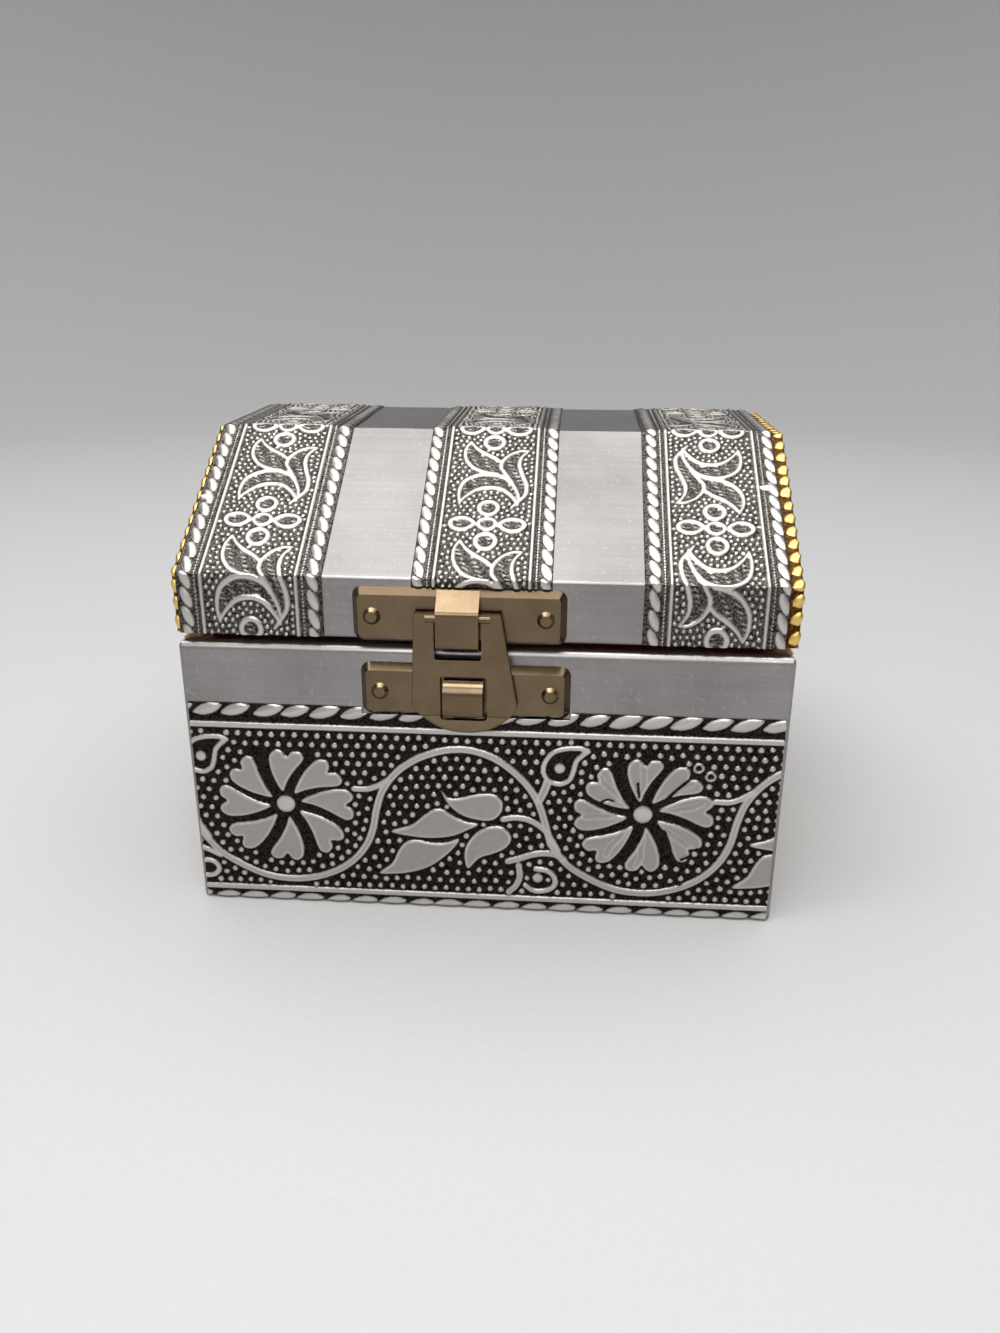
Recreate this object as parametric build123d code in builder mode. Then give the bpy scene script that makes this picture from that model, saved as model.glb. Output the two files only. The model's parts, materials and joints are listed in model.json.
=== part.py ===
from build123d import *
import os
from math import cos, radians, sin, sqrt, tan

# A small chest-shaped trinket box: a wooden carcass clad in embossed sheet metal.
# The lid has a five-faced dome (front wall, front slope, flat crown, back slope, back wall).
# Two surface butt hinges carry the lid, and a swinging hasp holds it shut at the front.
# Millimetres, +Z up, front facing -Y, origin at the centre of the underside.

os.makedirs("parts", exist_ok=True)

# Body of the box
box_width = 102.0
box_depth = 93.0
body_height = 49.6
board_t = 4.0
floor_t = 3.0
felt_t = 0.5
felt_inset = 1.5
sheet_t = 0.5
fold_r = 0.7
corner_return = 3.0
plain_band = 11.0
band_t = 0.5
plate_ease = 0.3

# Lid
seam_gap = 1.4
lid_overhang = 0.4
lid_wall_height = 10.2
dome_rise = 19.4
crown_depth = 31.0
lid_edge_r = 0.9
end_turnover = 2.6
strip_t = 0.5
panel_width = 14.6
left_strip_inset = 1.2

# Lining
lining_t = 1.0
pad_t = 1.5
lining_gap = 0.3

# Hinges
hinge_margin = 0.5
leaf_length = 9.0
leaf_t = 0.8
barrel_r = 1.5
hinge_pin_r = 0.65
pin_clearance = 0.04
knuckle_gap = 0.15
hinge_nail_spread = 9.0
hinge_nail_drop = 5.6

# Nails
nail_head_r = 1.45
nail_head_h = 0.6
nail_shank = 1.1
nail_grip = 3.4
small_head_r = 0.95
small_head_h = 0.4
small_shank = 0.8
nail_clearance = 0.02
nail_crown = 0.62
nail_point = 20.0

# Hasp set: two pressed plates, the loop on the upper one, the catch on the lower one
hasp_x = -3.6
plate_width = 34.9
plate_height = 9.3
plate_rise = 1.5
plate_corner_r = 1.7
plate_bevel = 35.0
plate_wall = 0.6
upper_plate_lift = 4.2
catch_plate_drop = 7.4
plate_nail_spread = 28.2
loop_width = 6.9
strap_t = 0.8
strap_slope = 2.85
strap_bend_r = 0.9
strap_turn_r = 0.68
bar_out = 2.7
bar_r = 0.75
bar_clearance = 0.1
bar_seat = 1.4
tongue_clearance = 0.35
bar_lift = 0.3
loop_height = 9.0
catch_shift = 0.9
catch_width = 6.5
catch_height = 6.4
catch_out = 5.0
catch_nose_r = 2.4

# Swinging tab of the hasp
tab_t = 1.0
tab_top_width = 14.1
tab_width = 17.3
tab_heel_width = 15.2
tab_head = 0.9
tab_length = 19.3
tab_shoulder = 14.4
tab_crease = 16.6
tab_side_bow = 0.13
tab_foot_width = 9.4
tab_foot_rise = 0.85
tab_lip_flare = 26.0
tab_edge_r = 0.3
window_width = 7.7
upper_window_end = 6.9
catch_slack_top = 0.35
catch_slack_bottom = 0.8

# Heights and faces that several pieces share
half_width = box_width / 2
half_depth = box_depth / 2
lid_half = half_width + lid_overhang
lid_bottom = body_height + seam_gap
shoulder_z = lid_bottom + lid_wall_height
crown_z = shoulder_z + dome_rise
slope_run = (box_depth - crown_depth) / 2
slope_tan = dome_rise / slope_run
slope_sec = sqrt(1 + slope_tan**2)
clad_end = lid_half - end_turnover
strip_width = 2 * (clad_end - panel_width) / 3
hinge_width = panel_width - 2 * hinge_margin
hinge_x = (strip_width + panel_width) / 2
wall_in = sheet_t + board_t
board_bottom = felt_t
band_height = body_height - plain_band - board_bottom
hinge_axis_y = half_depth + barrel_r
hinge_axis_z = body_height + seam_gap / 2
upper_plate_z = lid_bottom + upper_plate_lift
bar_z = upper_plate_z + bar_lift
catch_plate_z = body_height - catch_plate_drop
catch_x = hasp_x + catch_shift


def keep(piece, name):
    """Label a finished piece and write it as a STEP file of its own."""
    piece.part.label = name
    export_step(piece.part, f"parts/{name}.step")


def dome_outline(inset, bottom):
    """Corners of the lid's end profile, moved in by inset, as (y, z) from the front foot to the back foot."""
    y_wall = half_depth - inset
    z_shoulder = shoulder_z + inset * (slope_tan - slope_sec)
    y_crown = crown_depth / 2 - inset * (slope_sec - 1) / slope_tan
    z_crown = crown_z - inset
    front = [(-y_wall, bottom), (-y_wall, z_shoulder), (-y_crown, z_crown)]
    return front + [(-y, z) for y, z in reversed(front)]


def lid_end_block(inset):
    """The right end of the lid, moved in by inset, with its outer edge rounded over."""
    with BuildPart() as block:
        with BuildSketch(Plane.YZ.offset(clad_end - board_t)):
            with BuildLine():
                Polyline(*dome_outline(inset, lid_bottom + inset), close=True)
            make_face()
        extrude(amount=lid_half - inset - (clad_end - board_t))
        outer = block.faces().sort_by(Axis.X)[-1]
        foot = outer.edges().sort_by(Axis.Z)[0]
        fillet([edge for edge in outer.edges() if edge != foot], lid_edge_r - inset)
    return block.part


def nail(head_r, head_h, shank, length):
    """A nail with a low bevelled head and a square shank, its head's underside on XY, pointing down."""
    with BuildPart() as made:
        with BuildSketch(Plane.XZ):
            with BuildLine():
                Polyline((0, 0), (head_r, 0), (head_r * nail_crown, head_h), (0, head_h), close=True)
            make_face()
        revolve(axis=Axis.Z)
        with BuildSketch():
            Rectangle(shank, shank)
        extrude(amount=shank - length)
        with BuildSketch(Plane.XY.offset(shank - length)):
            Rectangle(shank, shank)
        extrude(amount=-shank, taper=nail_point)
    return made.part


def pierce(plane, spots, shank, depth):
    """Cut square nail holes into the piece being built, from plane inwards."""
    with BuildSketch(plane, mode=Mode.PRIVATE) as punched:
        with Locations(*spots):
            Rectangle(shank + 2 * nail_clearance, shank + 2 * nail_clearance)
    extrude(punched.sketch, amount=-depth, mode=Mode.SUBTRACT)


def facing_front(out):
    """A plane in front of the box, parallel to its front, its normal pointing out at the viewer."""
    return Plane.XZ.offset(half_depth + out)


def facing_back(out):
    """The same behind the box. Its X runs the other way, so that its normal points out."""
    return Plane(origin=(0, half_depth + out, 0), x_dir=(-1, 0, 0), z_dir=(0, 1, 0))


# Where the nails go: (x, z) on the front for the two plates, (x, z) on the back for the hinges
def plate_nails(x, z):
    """The two nails of a pressed plate whose middle is at x, z on the front."""
    return [(x - plate_nail_spread / 2, z), (x + plate_nail_spread / 2, z)]


upper_nails = plate_nails(hasp_x, upper_plate_z)
catch_nails = plate_nails(catch_x, catch_plate_z)
plate_nail_length = plate_rise + sheet_t + nail_grip
hinge_nail_length = leaf_t + sheet_t + nail_grip


def hinge_nails(side, lift):
    """The two nails of one hinge leaf, lift above the hinge's axis, in facing_back's own x and z."""
    middle = -side * hinge_x
    z = hinge_axis_z + lift
    return [(middle - hinge_nail_spread / 2, z), (middle + hinge_nail_spread / 2, z)]


body_leaf_nails = {side: hinge_nails(side, -hinge_nail_drop) for side in (-1, 1)}
lid_leaf_nails = {side: hinge_nails(side, hinge_nail_drop) for side in (-1, 1)}
all_body_leaf_nails = body_leaf_nails[-1] + body_leaf_nails[1]
all_lid_leaf_nails = lid_leaf_nails[-1] + lid_leaf_nails[1]


# Felt pad under the whole carcass, the face that the box stands on
with BuildPart() as base_felt:
    with BuildSketch():
        Rectangle(box_width - 2 * felt_inset, box_depth - 2 * felt_inset)
    extrude(amount=felt_t)
keep(base_felt, "base_felt")

# Carcass of the body: front and back boards run the full width, the ends fit between them
inner_half_w = half_width - wall_in
inner_half_d = half_depth - wall_in
with BuildPart() as carcass:
    with BuildSketch(Plane.XY.offset(board_bottom)):
        Rectangle(box_width - 2 * sheet_t, box_depth - 2 * sheet_t)
    extrude(amount=body_height - sheet_t - board_bottom)

with BuildPart() as body_front_board:
    add(carcass.part)
    split(bisect_by=Plane.XZ.offset(inner_half_d), keep=Keep.TOP)
    pierce(facing_front(-sheet_t), catch_nails, nail_shank, nail_grip + nail_clearance)
keep(body_front_board, "body_front_board")

with BuildPart() as body_back_board:
    add(carcass.part)
    split(bisect_by=Plane.XZ.offset(-inner_half_d), keep=Keep.BOTTOM)
    pierce(facing_back(-sheet_t), all_body_leaf_nails, small_shank, nail_grip + nail_clearance)
keep(body_back_board, "body_back_board")

for side, name in ((-1, "left"), (1, "right")):
    with BuildPart() as body_end_board:
        add(carcass.part)
        split(bisect_by=Plane.YZ.offset(side * inner_half_w), keep=Keep.TOP if side > 0 else Keep.BOTTOM)
        split(bisect_by=Plane.XZ.offset(inner_half_d), keep=Keep.BOTTOM)
        split(bisect_by=Plane.XZ.offset(-inner_half_d), keep=Keep.TOP)
    keep(body_end_board, f"body_{name}_end_board")

with BuildPart() as body_floor_board:
    with BuildSketch(Plane.XY.offset(board_bottom)):
        Rectangle(2 * inner_half_w, 2 * inner_half_d)
    extrude(amount=floor_t)
keep(body_floor_board, "body_floor_board")

# Sheet metal over the carcass, folded over the rim. The silver front and back sheets turn
# the corners, and the gilt end sheets cover the end walls between their returns.
return_y = half_depth - corner_return


def over_end_walls(sides, mode):
    """Keep or cut what lies over the end walls, between the returns of the front and back sheets."""
    with BuildSketch(Plane.XY.offset(board_bottom), mode=Mode.PRIVATE) as zone:
        with Locations(*[(side * (half_width - wall_in / 2), 0) for side in sides]):
            Rectangle(wall_in, 2 * return_y)
    extrude(zone.sketch, amount=body_height, mode=mode)


with BuildPart() as body_cladding:
    with BuildSketch(Plane.XY.offset(board_bottom)):
        Rectangle(box_width, box_depth)
    extrude(amount=body_height - board_bottom)
    foot = body_cladding.edges().group_by(Axis.Z)[0]
    fillet([edge for edge in body_cladding.edges() if edge not in foot], fold_r)
    add(carcass.part, mode=Mode.SUBTRACT)
    with BuildSketch(Plane.XY.offset(board_bottom)):
        Rectangle(2 * inner_half_w, 2 * inner_half_d)
    extrude(amount=body_height, mode=Mode.SUBTRACT)

with BuildPart() as body_front_sheet:
    add(body_cladding.part)
    split(bisect_by=Plane.XZ, keep=Keep.TOP)
    over_end_walls((-1, 1), Mode.SUBTRACT)
    pierce(facing_front(0), catch_nails, nail_shank, 2 * sheet_t)
keep(body_front_sheet, "body_front_sheet")

with BuildPart() as body_back_sheet:
    add(body_cladding.part)
    split(bisect_by=Plane.XZ, keep=Keep.BOTTOM)
    over_end_walls((-1, 1), Mode.SUBTRACT)
    pierce(facing_back(0), all_body_leaf_nails, small_shank, 2 * sheet_t)
keep(body_back_sheet, "body_back_sheet")

for side, name in ((-1, "left"), (1, "right")):
    with BuildPart() as body_end_sheet:
        add(body_cladding.part)
        over_end_walls((side,), Mode.INTERSECT)
    keep(body_end_sheet, f"body_{name}_end_sheet")

# Embossed bands laid over the plain sheets of the front and the back. The front one is
# notched where the catch plate lies flat on the sheet.
for face, name in ((facing_front(0), "front"), (facing_back(0), "back")):
    with BuildPart() as body_band:
        with BuildSketch(face):
            with Locations((0, board_bottom + band_height / 2)):
                Rectangle(box_width - 2 * fold_r, band_height)
            if name == "front":
                with Locations((catch_x, catch_plate_z)):
                    Rectangle(plate_width + 2 * plate_ease, plate_height + 2 * plate_ease, mode=Mode.SUBTRACT)
        extrude(amount=band_t)
    keep(body_band, f"body_{name}_band")

# Velvet-covered card inside the body: a padded floor and one band round the four walls.
# The band stands above the rim, and the lid's own lining comes down on it.
pad_top = board_bottom + floor_t + pad_t
with BuildPart() as body_floor_pad:
    with BuildSketch(Plane.XY.offset(board_bottom + floor_t)):
        Rectangle(2 * inner_half_w, 2 * inner_half_d)
    extrude(amount=pad_t)
keep(body_floor_pad, "body_floor_pad")

with BuildPart() as body_wall_lining:
    with BuildSketch(Plane.XY.offset(pad_top)):
        Rectangle(2 * inner_half_w, 2 * inner_half_d)
        Rectangle(2 * (inner_half_w - lining_t), 2 * (inner_half_d - lining_t), mode=Mode.SUBTRACT)
    extrude(amount=lid_bottom - lining_gap - pad_top)
keep(body_wall_lining, "body_wall_lining")

# Carcass of the lid: two polygonal end boards, and five boards mitred along the folds of the dome
lid_end_core = lid_end_block(sheet_t)
lid_end_form = lid_end_block(0)
for side, name in ((-1, "left"), (1, "right")):
    with BuildPart() as lid_end_board:
        add(lid_end_core)
        split(bisect_by=Plane.YZ.offset(lid_half - wall_in), keep=Keep.TOP)
        if side < 0:
            mirror(about=Plane.YZ, mode=Mode.REPLACE)
    keep(lid_end_board, f"lid_{name}_end_board")

lid_board_half = lid_half - wall_in
board_outer = dome_outline(sheet_t, lid_bottom + sheet_t)
board_inner = dome_outline(wall_in, lid_bottom + sheet_t)
dome_boards = ["lid_front_rail", "lid_front_slope", "lid_crown_board", "lid_back_slope", "lid_back_rail"]
for index, name in enumerate(dome_boards):
    with BuildPart() as dome_board:
        with BuildSketch(Plane.YZ):
            with BuildLine():
                Polyline(
                    board_outer[index],
                    board_outer[index + 1],
                    board_inner[index + 1],
                    board_inner[index],
                    close=True,
                )
            make_face()
        extrude(amount=lid_board_half, both=True)
        if name == "lid_front_rail":
            pierce(facing_front(-sheet_t), upper_nails, nail_shank, nail_grip + nail_clearance)
        if name == "lid_back_rail":
            pierce(facing_back(-sheet_t), all_lid_leaf_nails, small_shank, nail_grip + nail_clearance)
    keep(dome_board, name)

# One plain sheet folded over the dome and under both rims
with BuildPart() as lid_plain_sheet:
    with BuildSketch(Plane.YZ):
        with BuildLine():
            Polyline(*dome_outline(0, lid_bottom), close=True)
        make_face()
        with BuildLine():
            Polyline(*dome_outline(sheet_t, lid_bottom + sheet_t), close=True)
        make_face(mode=Mode.SUBTRACT)
        with Locations((0, lid_bottom)):
            Rectangle(2 * inner_half_d, 4 * sheet_t, mode=Mode.SUBTRACT)
    extrude(amount=clad_end, both=True)
    pierce(facing_front(0), upper_nails, nail_shank, 2 * sheet_t)
    pierce(facing_back(0), all_lid_leaf_nails, small_shank, 2 * sheet_t)
keep(lid_plain_sheet, "lid_plain_sheet")

# Three embossed strips laid over the plain sheet from rim to rim. The left one also covers most of
# the gilt edge beside it. The middle one stops short at the front, so that the hasp plate lies flat
# on the plain sheet.
strip_half = strip_width / 2
strip_sides = {
    "left": (left_strip_inset - lid_half, -strip_half - panel_width),
    "centre": (-strip_half, strip_half),
    "right": (strip_half + panel_width, clad_end),
}
plate_top_z = upper_plate_z + plate_height / 2
for name, (left_side, right_side) in strip_sides.items():
    with BuildPart() as strip:
        with BuildSketch(Plane.YZ.offset(left_side)):
            with BuildLine():
                Polyline(*dome_outline(-strip_t, lid_bottom), close=True)
            make_face()
            with BuildLine():
                Polyline(*dome_outline(0, lid_bottom), close=True)
            make_face(mode=Mode.SUBTRACT)
        extrude(amount=right_side - left_side)
        if name == "centre":
            with BuildSketch(facing_front(-fold_r)):
                with Locations((0, lid_bottom)):
                    Rectangle(2 * strip_width, 2 * (plate_top_z + plate_ease - lid_bottom))
            extrude(amount=3 * fold_r, mode=Mode.SUBTRACT)
    keep(strip, f"lid_strip_{name}")

# Gilt end sheets of the lid, folded over the end boards' edges and turned in beside the plain sheet
for side, name in ((-1, "left"), (1, "right")):
    with BuildPart() as lid_end_sheet:
        add(lid_end_form)
        add(lid_end_core, mode=Mode.SUBTRACT)
        split(bisect_by=Plane.YZ.offset(clad_end), keep=Keep.TOP)
        if side < 0:
            mirror(about=Plane.YZ, mode=Mode.REPLACE)
    keep(lid_end_sheet, f"lid_{name}_end_sheet")

# Velvet-covered card inside the lid: one band under the dome and a panel on each end
with BuildPart() as lid_dome_lining:
    with BuildSketch(Plane.YZ):
        with BuildLine():
            Polyline(*dome_outline(wall_in, lid_bottom), close=True)
        make_face()
        with BuildLine():
            Polyline(*dome_outline(wall_in + lining_t, lid_bottom), close=True)
        make_face(mode=Mode.SUBTRACT)
    extrude(amount=lid_board_half - lining_t, both=True)
keep(lid_dome_lining, "lid_dome_lining")

for side, name in ((-1, "left"), (1, "right")):
    with BuildPart() as lid_end_lining:
        with BuildSketch(Plane.YZ.offset(side * (lid_board_half - lining_t / 2))):
            with BuildLine():
                Polyline(*dome_outline(wall_in, lid_bottom), close=True)
            make_face()
        extrude(amount=lining_t / 2, both=True)
    keep(lid_end_lining, f"lid_{name}_end_lining")

# Surface butt hinges. The body leaf has the two outer knuckles, the lid leaf the middle one,
# and each leaf's plate lies flat on the sheet metal.
knuckle_length = (hinge_width - 2 * knuckle_gap) / 3
knuckle_step = knuckle_length + knuckle_gap


def hinge_leaf(middle, up, knuckles):
    """One leaf at x = middle, its plate above the axis (up = 1) or below it (up = -1)."""
    near = barrel_r + knuckle_gap
    with BuildPart() as leaf:
        with BuildSketch(Plane.XZ.offset(-half_depth)):
            with Locations((middle, hinge_axis_z + up * (near + leaf_length) / 2)):
                Rectangle(hinge_width, leaf_length - near)
        extrude(amount=-leaf_t)
        corners = leaf.edges().filter_by(Axis.Y).group_by(Axis.Z)[-1 if up > 0 else 0]
        fillet(corners, barrel_r)
        for knuckle in knuckles:
            with BuildSketch(Plane.YZ.offset(middle + knuckle * knuckle_step)):
                with Locations((hinge_axis_y, hinge_axis_z)):
                    Circle(barrel_r)
                with Locations((half_depth + leaf_t / 2, hinge_axis_z + up * near / 2)):
                    Rectangle(leaf_t, near)
                with Locations((hinge_axis_y, hinge_axis_z)):
                    Circle(hinge_pin_r + pin_clearance, mode=Mode.SUBTRACT)
            extrude(amount=knuckle_length / 2, both=True)
        spots = hinge_nails(1 if middle > 0 else -1, up * hinge_nail_drop)
        pierce(facing_back(leaf_t), spots, small_shank, 2 * leaf_t)
    return leaf


small_nail = nail(small_head_r, small_head_h, small_shank, hinge_nail_length)
for side, name in ((-1, "left"), (1, "right")):
    keep(hinge_leaf(side * hinge_x, -1, (-1, 1)), f"{name}_hinge_body_leaf")
    keep(hinge_leaf(side * hinge_x, 1, (0,)), f"{name}_hinge_lid_leaf")

    with BuildPart() as hinge_pin:
        with BuildSketch(Plane.YZ.offset(side * hinge_x)):
            with Locations((hinge_axis_y, hinge_axis_z)):
                Circle(hinge_pin_r)
        extrude(amount=hinge_width / 2, both=True)
    keep(hinge_pin, f"{name}_hinge_pin")

    with BuildPart() as body_nails:
        with Locations(facing_back(leaf_t)):
            with Locations(*body_leaf_nails[side]):
                add(small_nail)
    keep(body_nails, f"{name}_hinge_body_nails")

    with BuildPart() as lid_nails:
        with Locations(facing_back(leaf_t)):
            with Locations(*lid_leaf_nails[side]):
                add(small_nail)
    keep(lid_nails, f"{name}_hinge_lid_nails")


# The two plates of the hasp set are the same pressing: a shallow pan with bevelled sides
def pressed_plate(x, z):
    """A pressed plate on the front of the box with its middle at x, z and two nail holes."""
    tilt = radians(plate_bevel)
    wall_shift = plate_wall * (1 - sin(tilt)) / cos(tilt)
    with BuildPart() as plate:
        with BuildSketch(facing_front(0)):
            with Locations((x, z)):
                RectangleRounded(plate_width, plate_height, plate_corner_r)
        extrude(amount=plate_rise, taper=plate_bevel)
        with BuildSketch(facing_front(0)):
            with Locations((x, z)):
                side_wall = plate_wall * tan(tilt) + wall_shift
                Rectangle(plate_width - 2 * side_wall, plate_height - 2 * side_wall)
        extrude(amount=plate_rise - plate_wall, taper=plate_bevel, mode=Mode.SUBTRACT)
        pierce(facing_front(plate_rise), plate_nails(x, z), nail_shank, 2 * plate_rise)
    return plate.part


def at_front(out, z):
    """A point of a side view, out in front of the box's front face, as (y, z)."""
    return (-half_depth - out, z)


# Upper plate: a strap leaves its top edge, slopes forward, runs down in front of the tab's bar,
# turns back under itself and ends below the bar, which it traps.
strap_out = bar_out + bar_r + bar_clearance + strap_t / 2
strap_top = plate_top_z - strap_t / 2
strap_low = plate_top_z - loop_height
turn_z = strap_low + strap_turn_r
tongue_out = strap_out - 2 * strap_turn_r
tongue_top = bar_z - bar_r - tongue_clearance
upper_pressing = pressed_plate(hasp_x, upper_plate_z)
with BuildPart() as hasp_plate:
    add(upper_pressing)
    with BuildSketch(Plane.YZ.offset(hasp_x)):
        with BuildLine():
            FilletPolyline(
                at_front(plate_rise / 2, strap_top),
                at_front(strap_out, strap_top - strap_slope),
                at_front(strap_out, turn_z),
                radius=strap_bend_r,
            )
            CenterArc(at_front(strap_out - strap_turn_r, turn_z), strap_turn_r, 180, 180)
            Line(at_front(tongue_out, turn_z), at_front(tongue_out, tongue_top))
        trace(line_width=strap_t)
    extrude(amount=loop_width / 2, both=True)
keep(hasp_plate, "hasp_plate")

# Lower plate: a bowed catch with a round nose stands out through the tab's lower window. The plate
# is nailed on a little to the right of the upper one.
catch_front = catch_out - strap_t / 2
catch_top = catch_plate_z + catch_height / 2 - strap_t / 2
catch_low = catch_plate_z - catch_height / 2 + strap_t / 2
nose_out = catch_front - catch_nose_r
heel_out = catch_front - strap_turn_r
heel_z = catch_low + strap_turn_r
lower_pressing = pressed_plate(catch_x, catch_plate_z)
with BuildPart() as catch_plate:
    add(lower_pressing)
    with BuildSketch(Plane.YZ.offset(catch_x)):
        with BuildLine():
            root = plate_rise - plate_wall / 2
            Line(at_front(root, catch_top), at_front(nose_out, catch_top))
            CenterArc(at_front(nose_out, catch_top - catch_nose_r), catch_nose_r, 90, 90)
            Line(at_front(catch_front, catch_top - catch_nose_r), at_front(catch_front, heel_z))
            CenterArc(at_front(heel_out, heel_z), strap_turn_r, 180, 90)
            Line(at_front(heel_out, catch_low), at_front(root, catch_low))
        trace(line_width=strap_t)
    extrude(amount=catch_width / 2, both=True)
keep(catch_plate, "catch_plate")

plate_nail = nail(nail_head_r, nail_head_h, nail_shank, plate_nail_length)
with BuildPart() as hasp_plate_nails:
    with Locations(facing_front(plate_rise)):
        with Locations(*upper_nails):
            add(plate_nail)
keep(hasp_plate_nails, "hasp_plate_nails")

with BuildPart() as catch_plate_nails:
    with Locations(facing_front(plate_rise)):
        with Locations(*catch_nails):
            add(plate_nail)
keep(catch_plate_nails, "catch_plate_nails")

# Hasp tab: a side view with a flared lip, trimmed to its front outline and pierced by two windows.
# The round bar along the top of the upper window turns in the upper plate's strap, and its ends
# stand out as two bumps beside the window. The outline leans, so that it meets the catch.
lip_z = bar_z - tab_crease
lip_drop = tab_length - tab_crease
lip_out = bar_out + lip_drop * tan(radians(tab_lip_flare))
half_top = tab_top_width / 2
half_tab = tab_width / 2
half_heel = tab_heel_width / 2
half_foot = tab_foot_width / 2
tab_lean = catch_shift / (bar_z - catch_plate_z)
tab_plane = Plane(origin=(hasp_x, -half_depth, bar_z), x_dir=(1, 0, 0), z_dir=(0, -1, 0))


def on_tab(across, down):
    """A point of the tab's outline, from its leaning middle line and the bar's height."""
    return (across + tab_lean * down, -down)


def in_front(spot):
    """True for a point on the tab's outer side."""
    flare = max(0, lip_z - spot.Z) * tan(radians(tab_lip_flare))
    return -spot.Y - half_depth > bar_out + flare


with BuildPart() as hasp_tab:
    with BuildSketch(Plane.YZ.offset(catch_x)):
        with BuildLine():
            FilletPolyline(
                at_front(bar_out, bar_z + tab_head),
                at_front(bar_out, lip_z),
                at_front(lip_out, lip_z - lip_drop - tab_t),
                radius=2 * tab_t,
            )
        trace(line_width=tab_t)
    extrude(amount=tab_width, both=True)
    with BuildSketch(tab_plane):
        with BuildLine():
            Line(on_tab(-half_top, -tab_head), on_tab(half_top, -tab_head))
            foot = on_tab(0, tab_length)
            for side in (-1, 1):
                shoulder = on_tab(side * half_tab, tab_shoulder)
                heel = on_tab(side * half_heel, tab_crease)
                bow = on_tab(side * (half_tab - tab_side_bow), (tab_shoulder + tab_crease) / 2)
                sole = on_tab(side * half_foot, tab_length - tab_foot_rise)
                Line(on_tab(side * half_top, -tab_head), shoulder)
                ThreePointArc(shoulder, bow, heel)
                ThreePointArc(heel, sole, foot)
        make_face()
    extrude(amount=2 * catch_out, mode=Mode.INTERSECT)
    walls = hasp_tab.faces().filter_by(lambda face: face.normal_at().dot(tab_plane.z_dir) == 0)
    rims = walls.edges().filter_by(lambda edge: in_front(edge.center()))
    fillet(rims.filter_by(Axis.X, reverse=True), tab_edge_r)
    lower_top = catch_plate_z + catch_height / 2 + catch_slack_top
    lower_end = catch_plate_z - catch_height / 2 - catch_slack_bottom
    upper_window = (hasp_x, bar_z, bar_z - upper_window_end)
    lower_window = (catch_x, lower_top, lower_end)
    with BuildSketch(facing_front(0)):
        for middle, top, end in (upper_window, lower_window):
            with Locations((middle, (top + end) / 2)):
                RectangleRounded(window_width, top - end, tab_t / 2)
    extrude(amount=2 * catch_out, mode=Mode.SUBTRACT)
    with BuildSketch(Plane.YZ.offset(hasp_x)):
        with Locations(at_front(bar_out, bar_z)):
            Circle(bar_r)
    extrude(amount=window_width / 2 + bar_seat, both=True)
keep(hasp_tab, "hasp_tab")

print("hinge axis", hinge_axis_y, hinge_axis_z, "hasp axis", -half_depth - bar_out, bar_z)
print("crown", crown_z, "lid bottom", lid_bottom)
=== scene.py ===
# %% [markdown]
# A small trinket box of wood, clad in pressed metal sheet, is dressed here around its CAD model.
# The CAD gives every place and size; this script gives the chased relief, the finishes and the light.
# It reads as a lesson: each step says what the real thing is, then builds it.

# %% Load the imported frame
import json
import math

import bmesh
import bpy
import numpy as np
from mathutils import Matrix, Vector

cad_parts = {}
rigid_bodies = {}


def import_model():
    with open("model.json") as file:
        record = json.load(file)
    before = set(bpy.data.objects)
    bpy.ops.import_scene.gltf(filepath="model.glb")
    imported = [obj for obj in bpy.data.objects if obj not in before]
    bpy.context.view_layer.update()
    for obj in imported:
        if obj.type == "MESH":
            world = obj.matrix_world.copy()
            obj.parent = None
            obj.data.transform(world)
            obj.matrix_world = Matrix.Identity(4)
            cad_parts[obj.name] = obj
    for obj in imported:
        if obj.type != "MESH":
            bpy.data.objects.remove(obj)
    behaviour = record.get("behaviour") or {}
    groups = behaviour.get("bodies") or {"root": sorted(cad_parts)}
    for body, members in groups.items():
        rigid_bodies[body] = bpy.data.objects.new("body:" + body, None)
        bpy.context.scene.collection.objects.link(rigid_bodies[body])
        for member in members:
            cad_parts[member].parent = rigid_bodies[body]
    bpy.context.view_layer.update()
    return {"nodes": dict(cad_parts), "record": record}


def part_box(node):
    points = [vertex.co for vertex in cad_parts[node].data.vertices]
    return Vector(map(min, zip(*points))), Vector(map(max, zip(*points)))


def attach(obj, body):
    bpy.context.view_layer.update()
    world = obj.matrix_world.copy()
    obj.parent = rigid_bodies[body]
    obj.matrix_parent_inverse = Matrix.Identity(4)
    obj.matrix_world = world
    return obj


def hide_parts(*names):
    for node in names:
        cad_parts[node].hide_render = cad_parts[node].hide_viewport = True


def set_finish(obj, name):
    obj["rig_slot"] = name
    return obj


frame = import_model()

MM = 0.001
nodes = frame["nodes"]
print("nodes in the frame:", len(nodes))

# %% [markdown]
# The camera stands where the photographer stood: close by, a little higher than the lid and a little
# to the right of its middle. From there a wide phone lens makes the front larger than the back. The
# place and the turn came from fitting the box's own corners, so a plain camera with no shift does it.

# %% Camera
PHOTO_HEIGHT, SENSOR, FOCAL_PX = 1333, 36, 1059.72
PITCH, YAW, ROLL = 0.360586, -0.071470, 0.003841
EYE = Vector((14.686, -209.197, 108.079)) * MM

ahead = Vector((math.sin(YAW) * math.cos(PITCH), math.cos(YAW) * math.cos(PITCH), -math.sin(PITCH)))
level = Vector((math.cos(YAW), -math.sin(YAW), 0))
above = level.cross(ahead)
right = level * math.cos(ROLL) + above * math.sin(ROLL)
up = above * math.cos(ROLL) - level * math.sin(ROLL)

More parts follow.
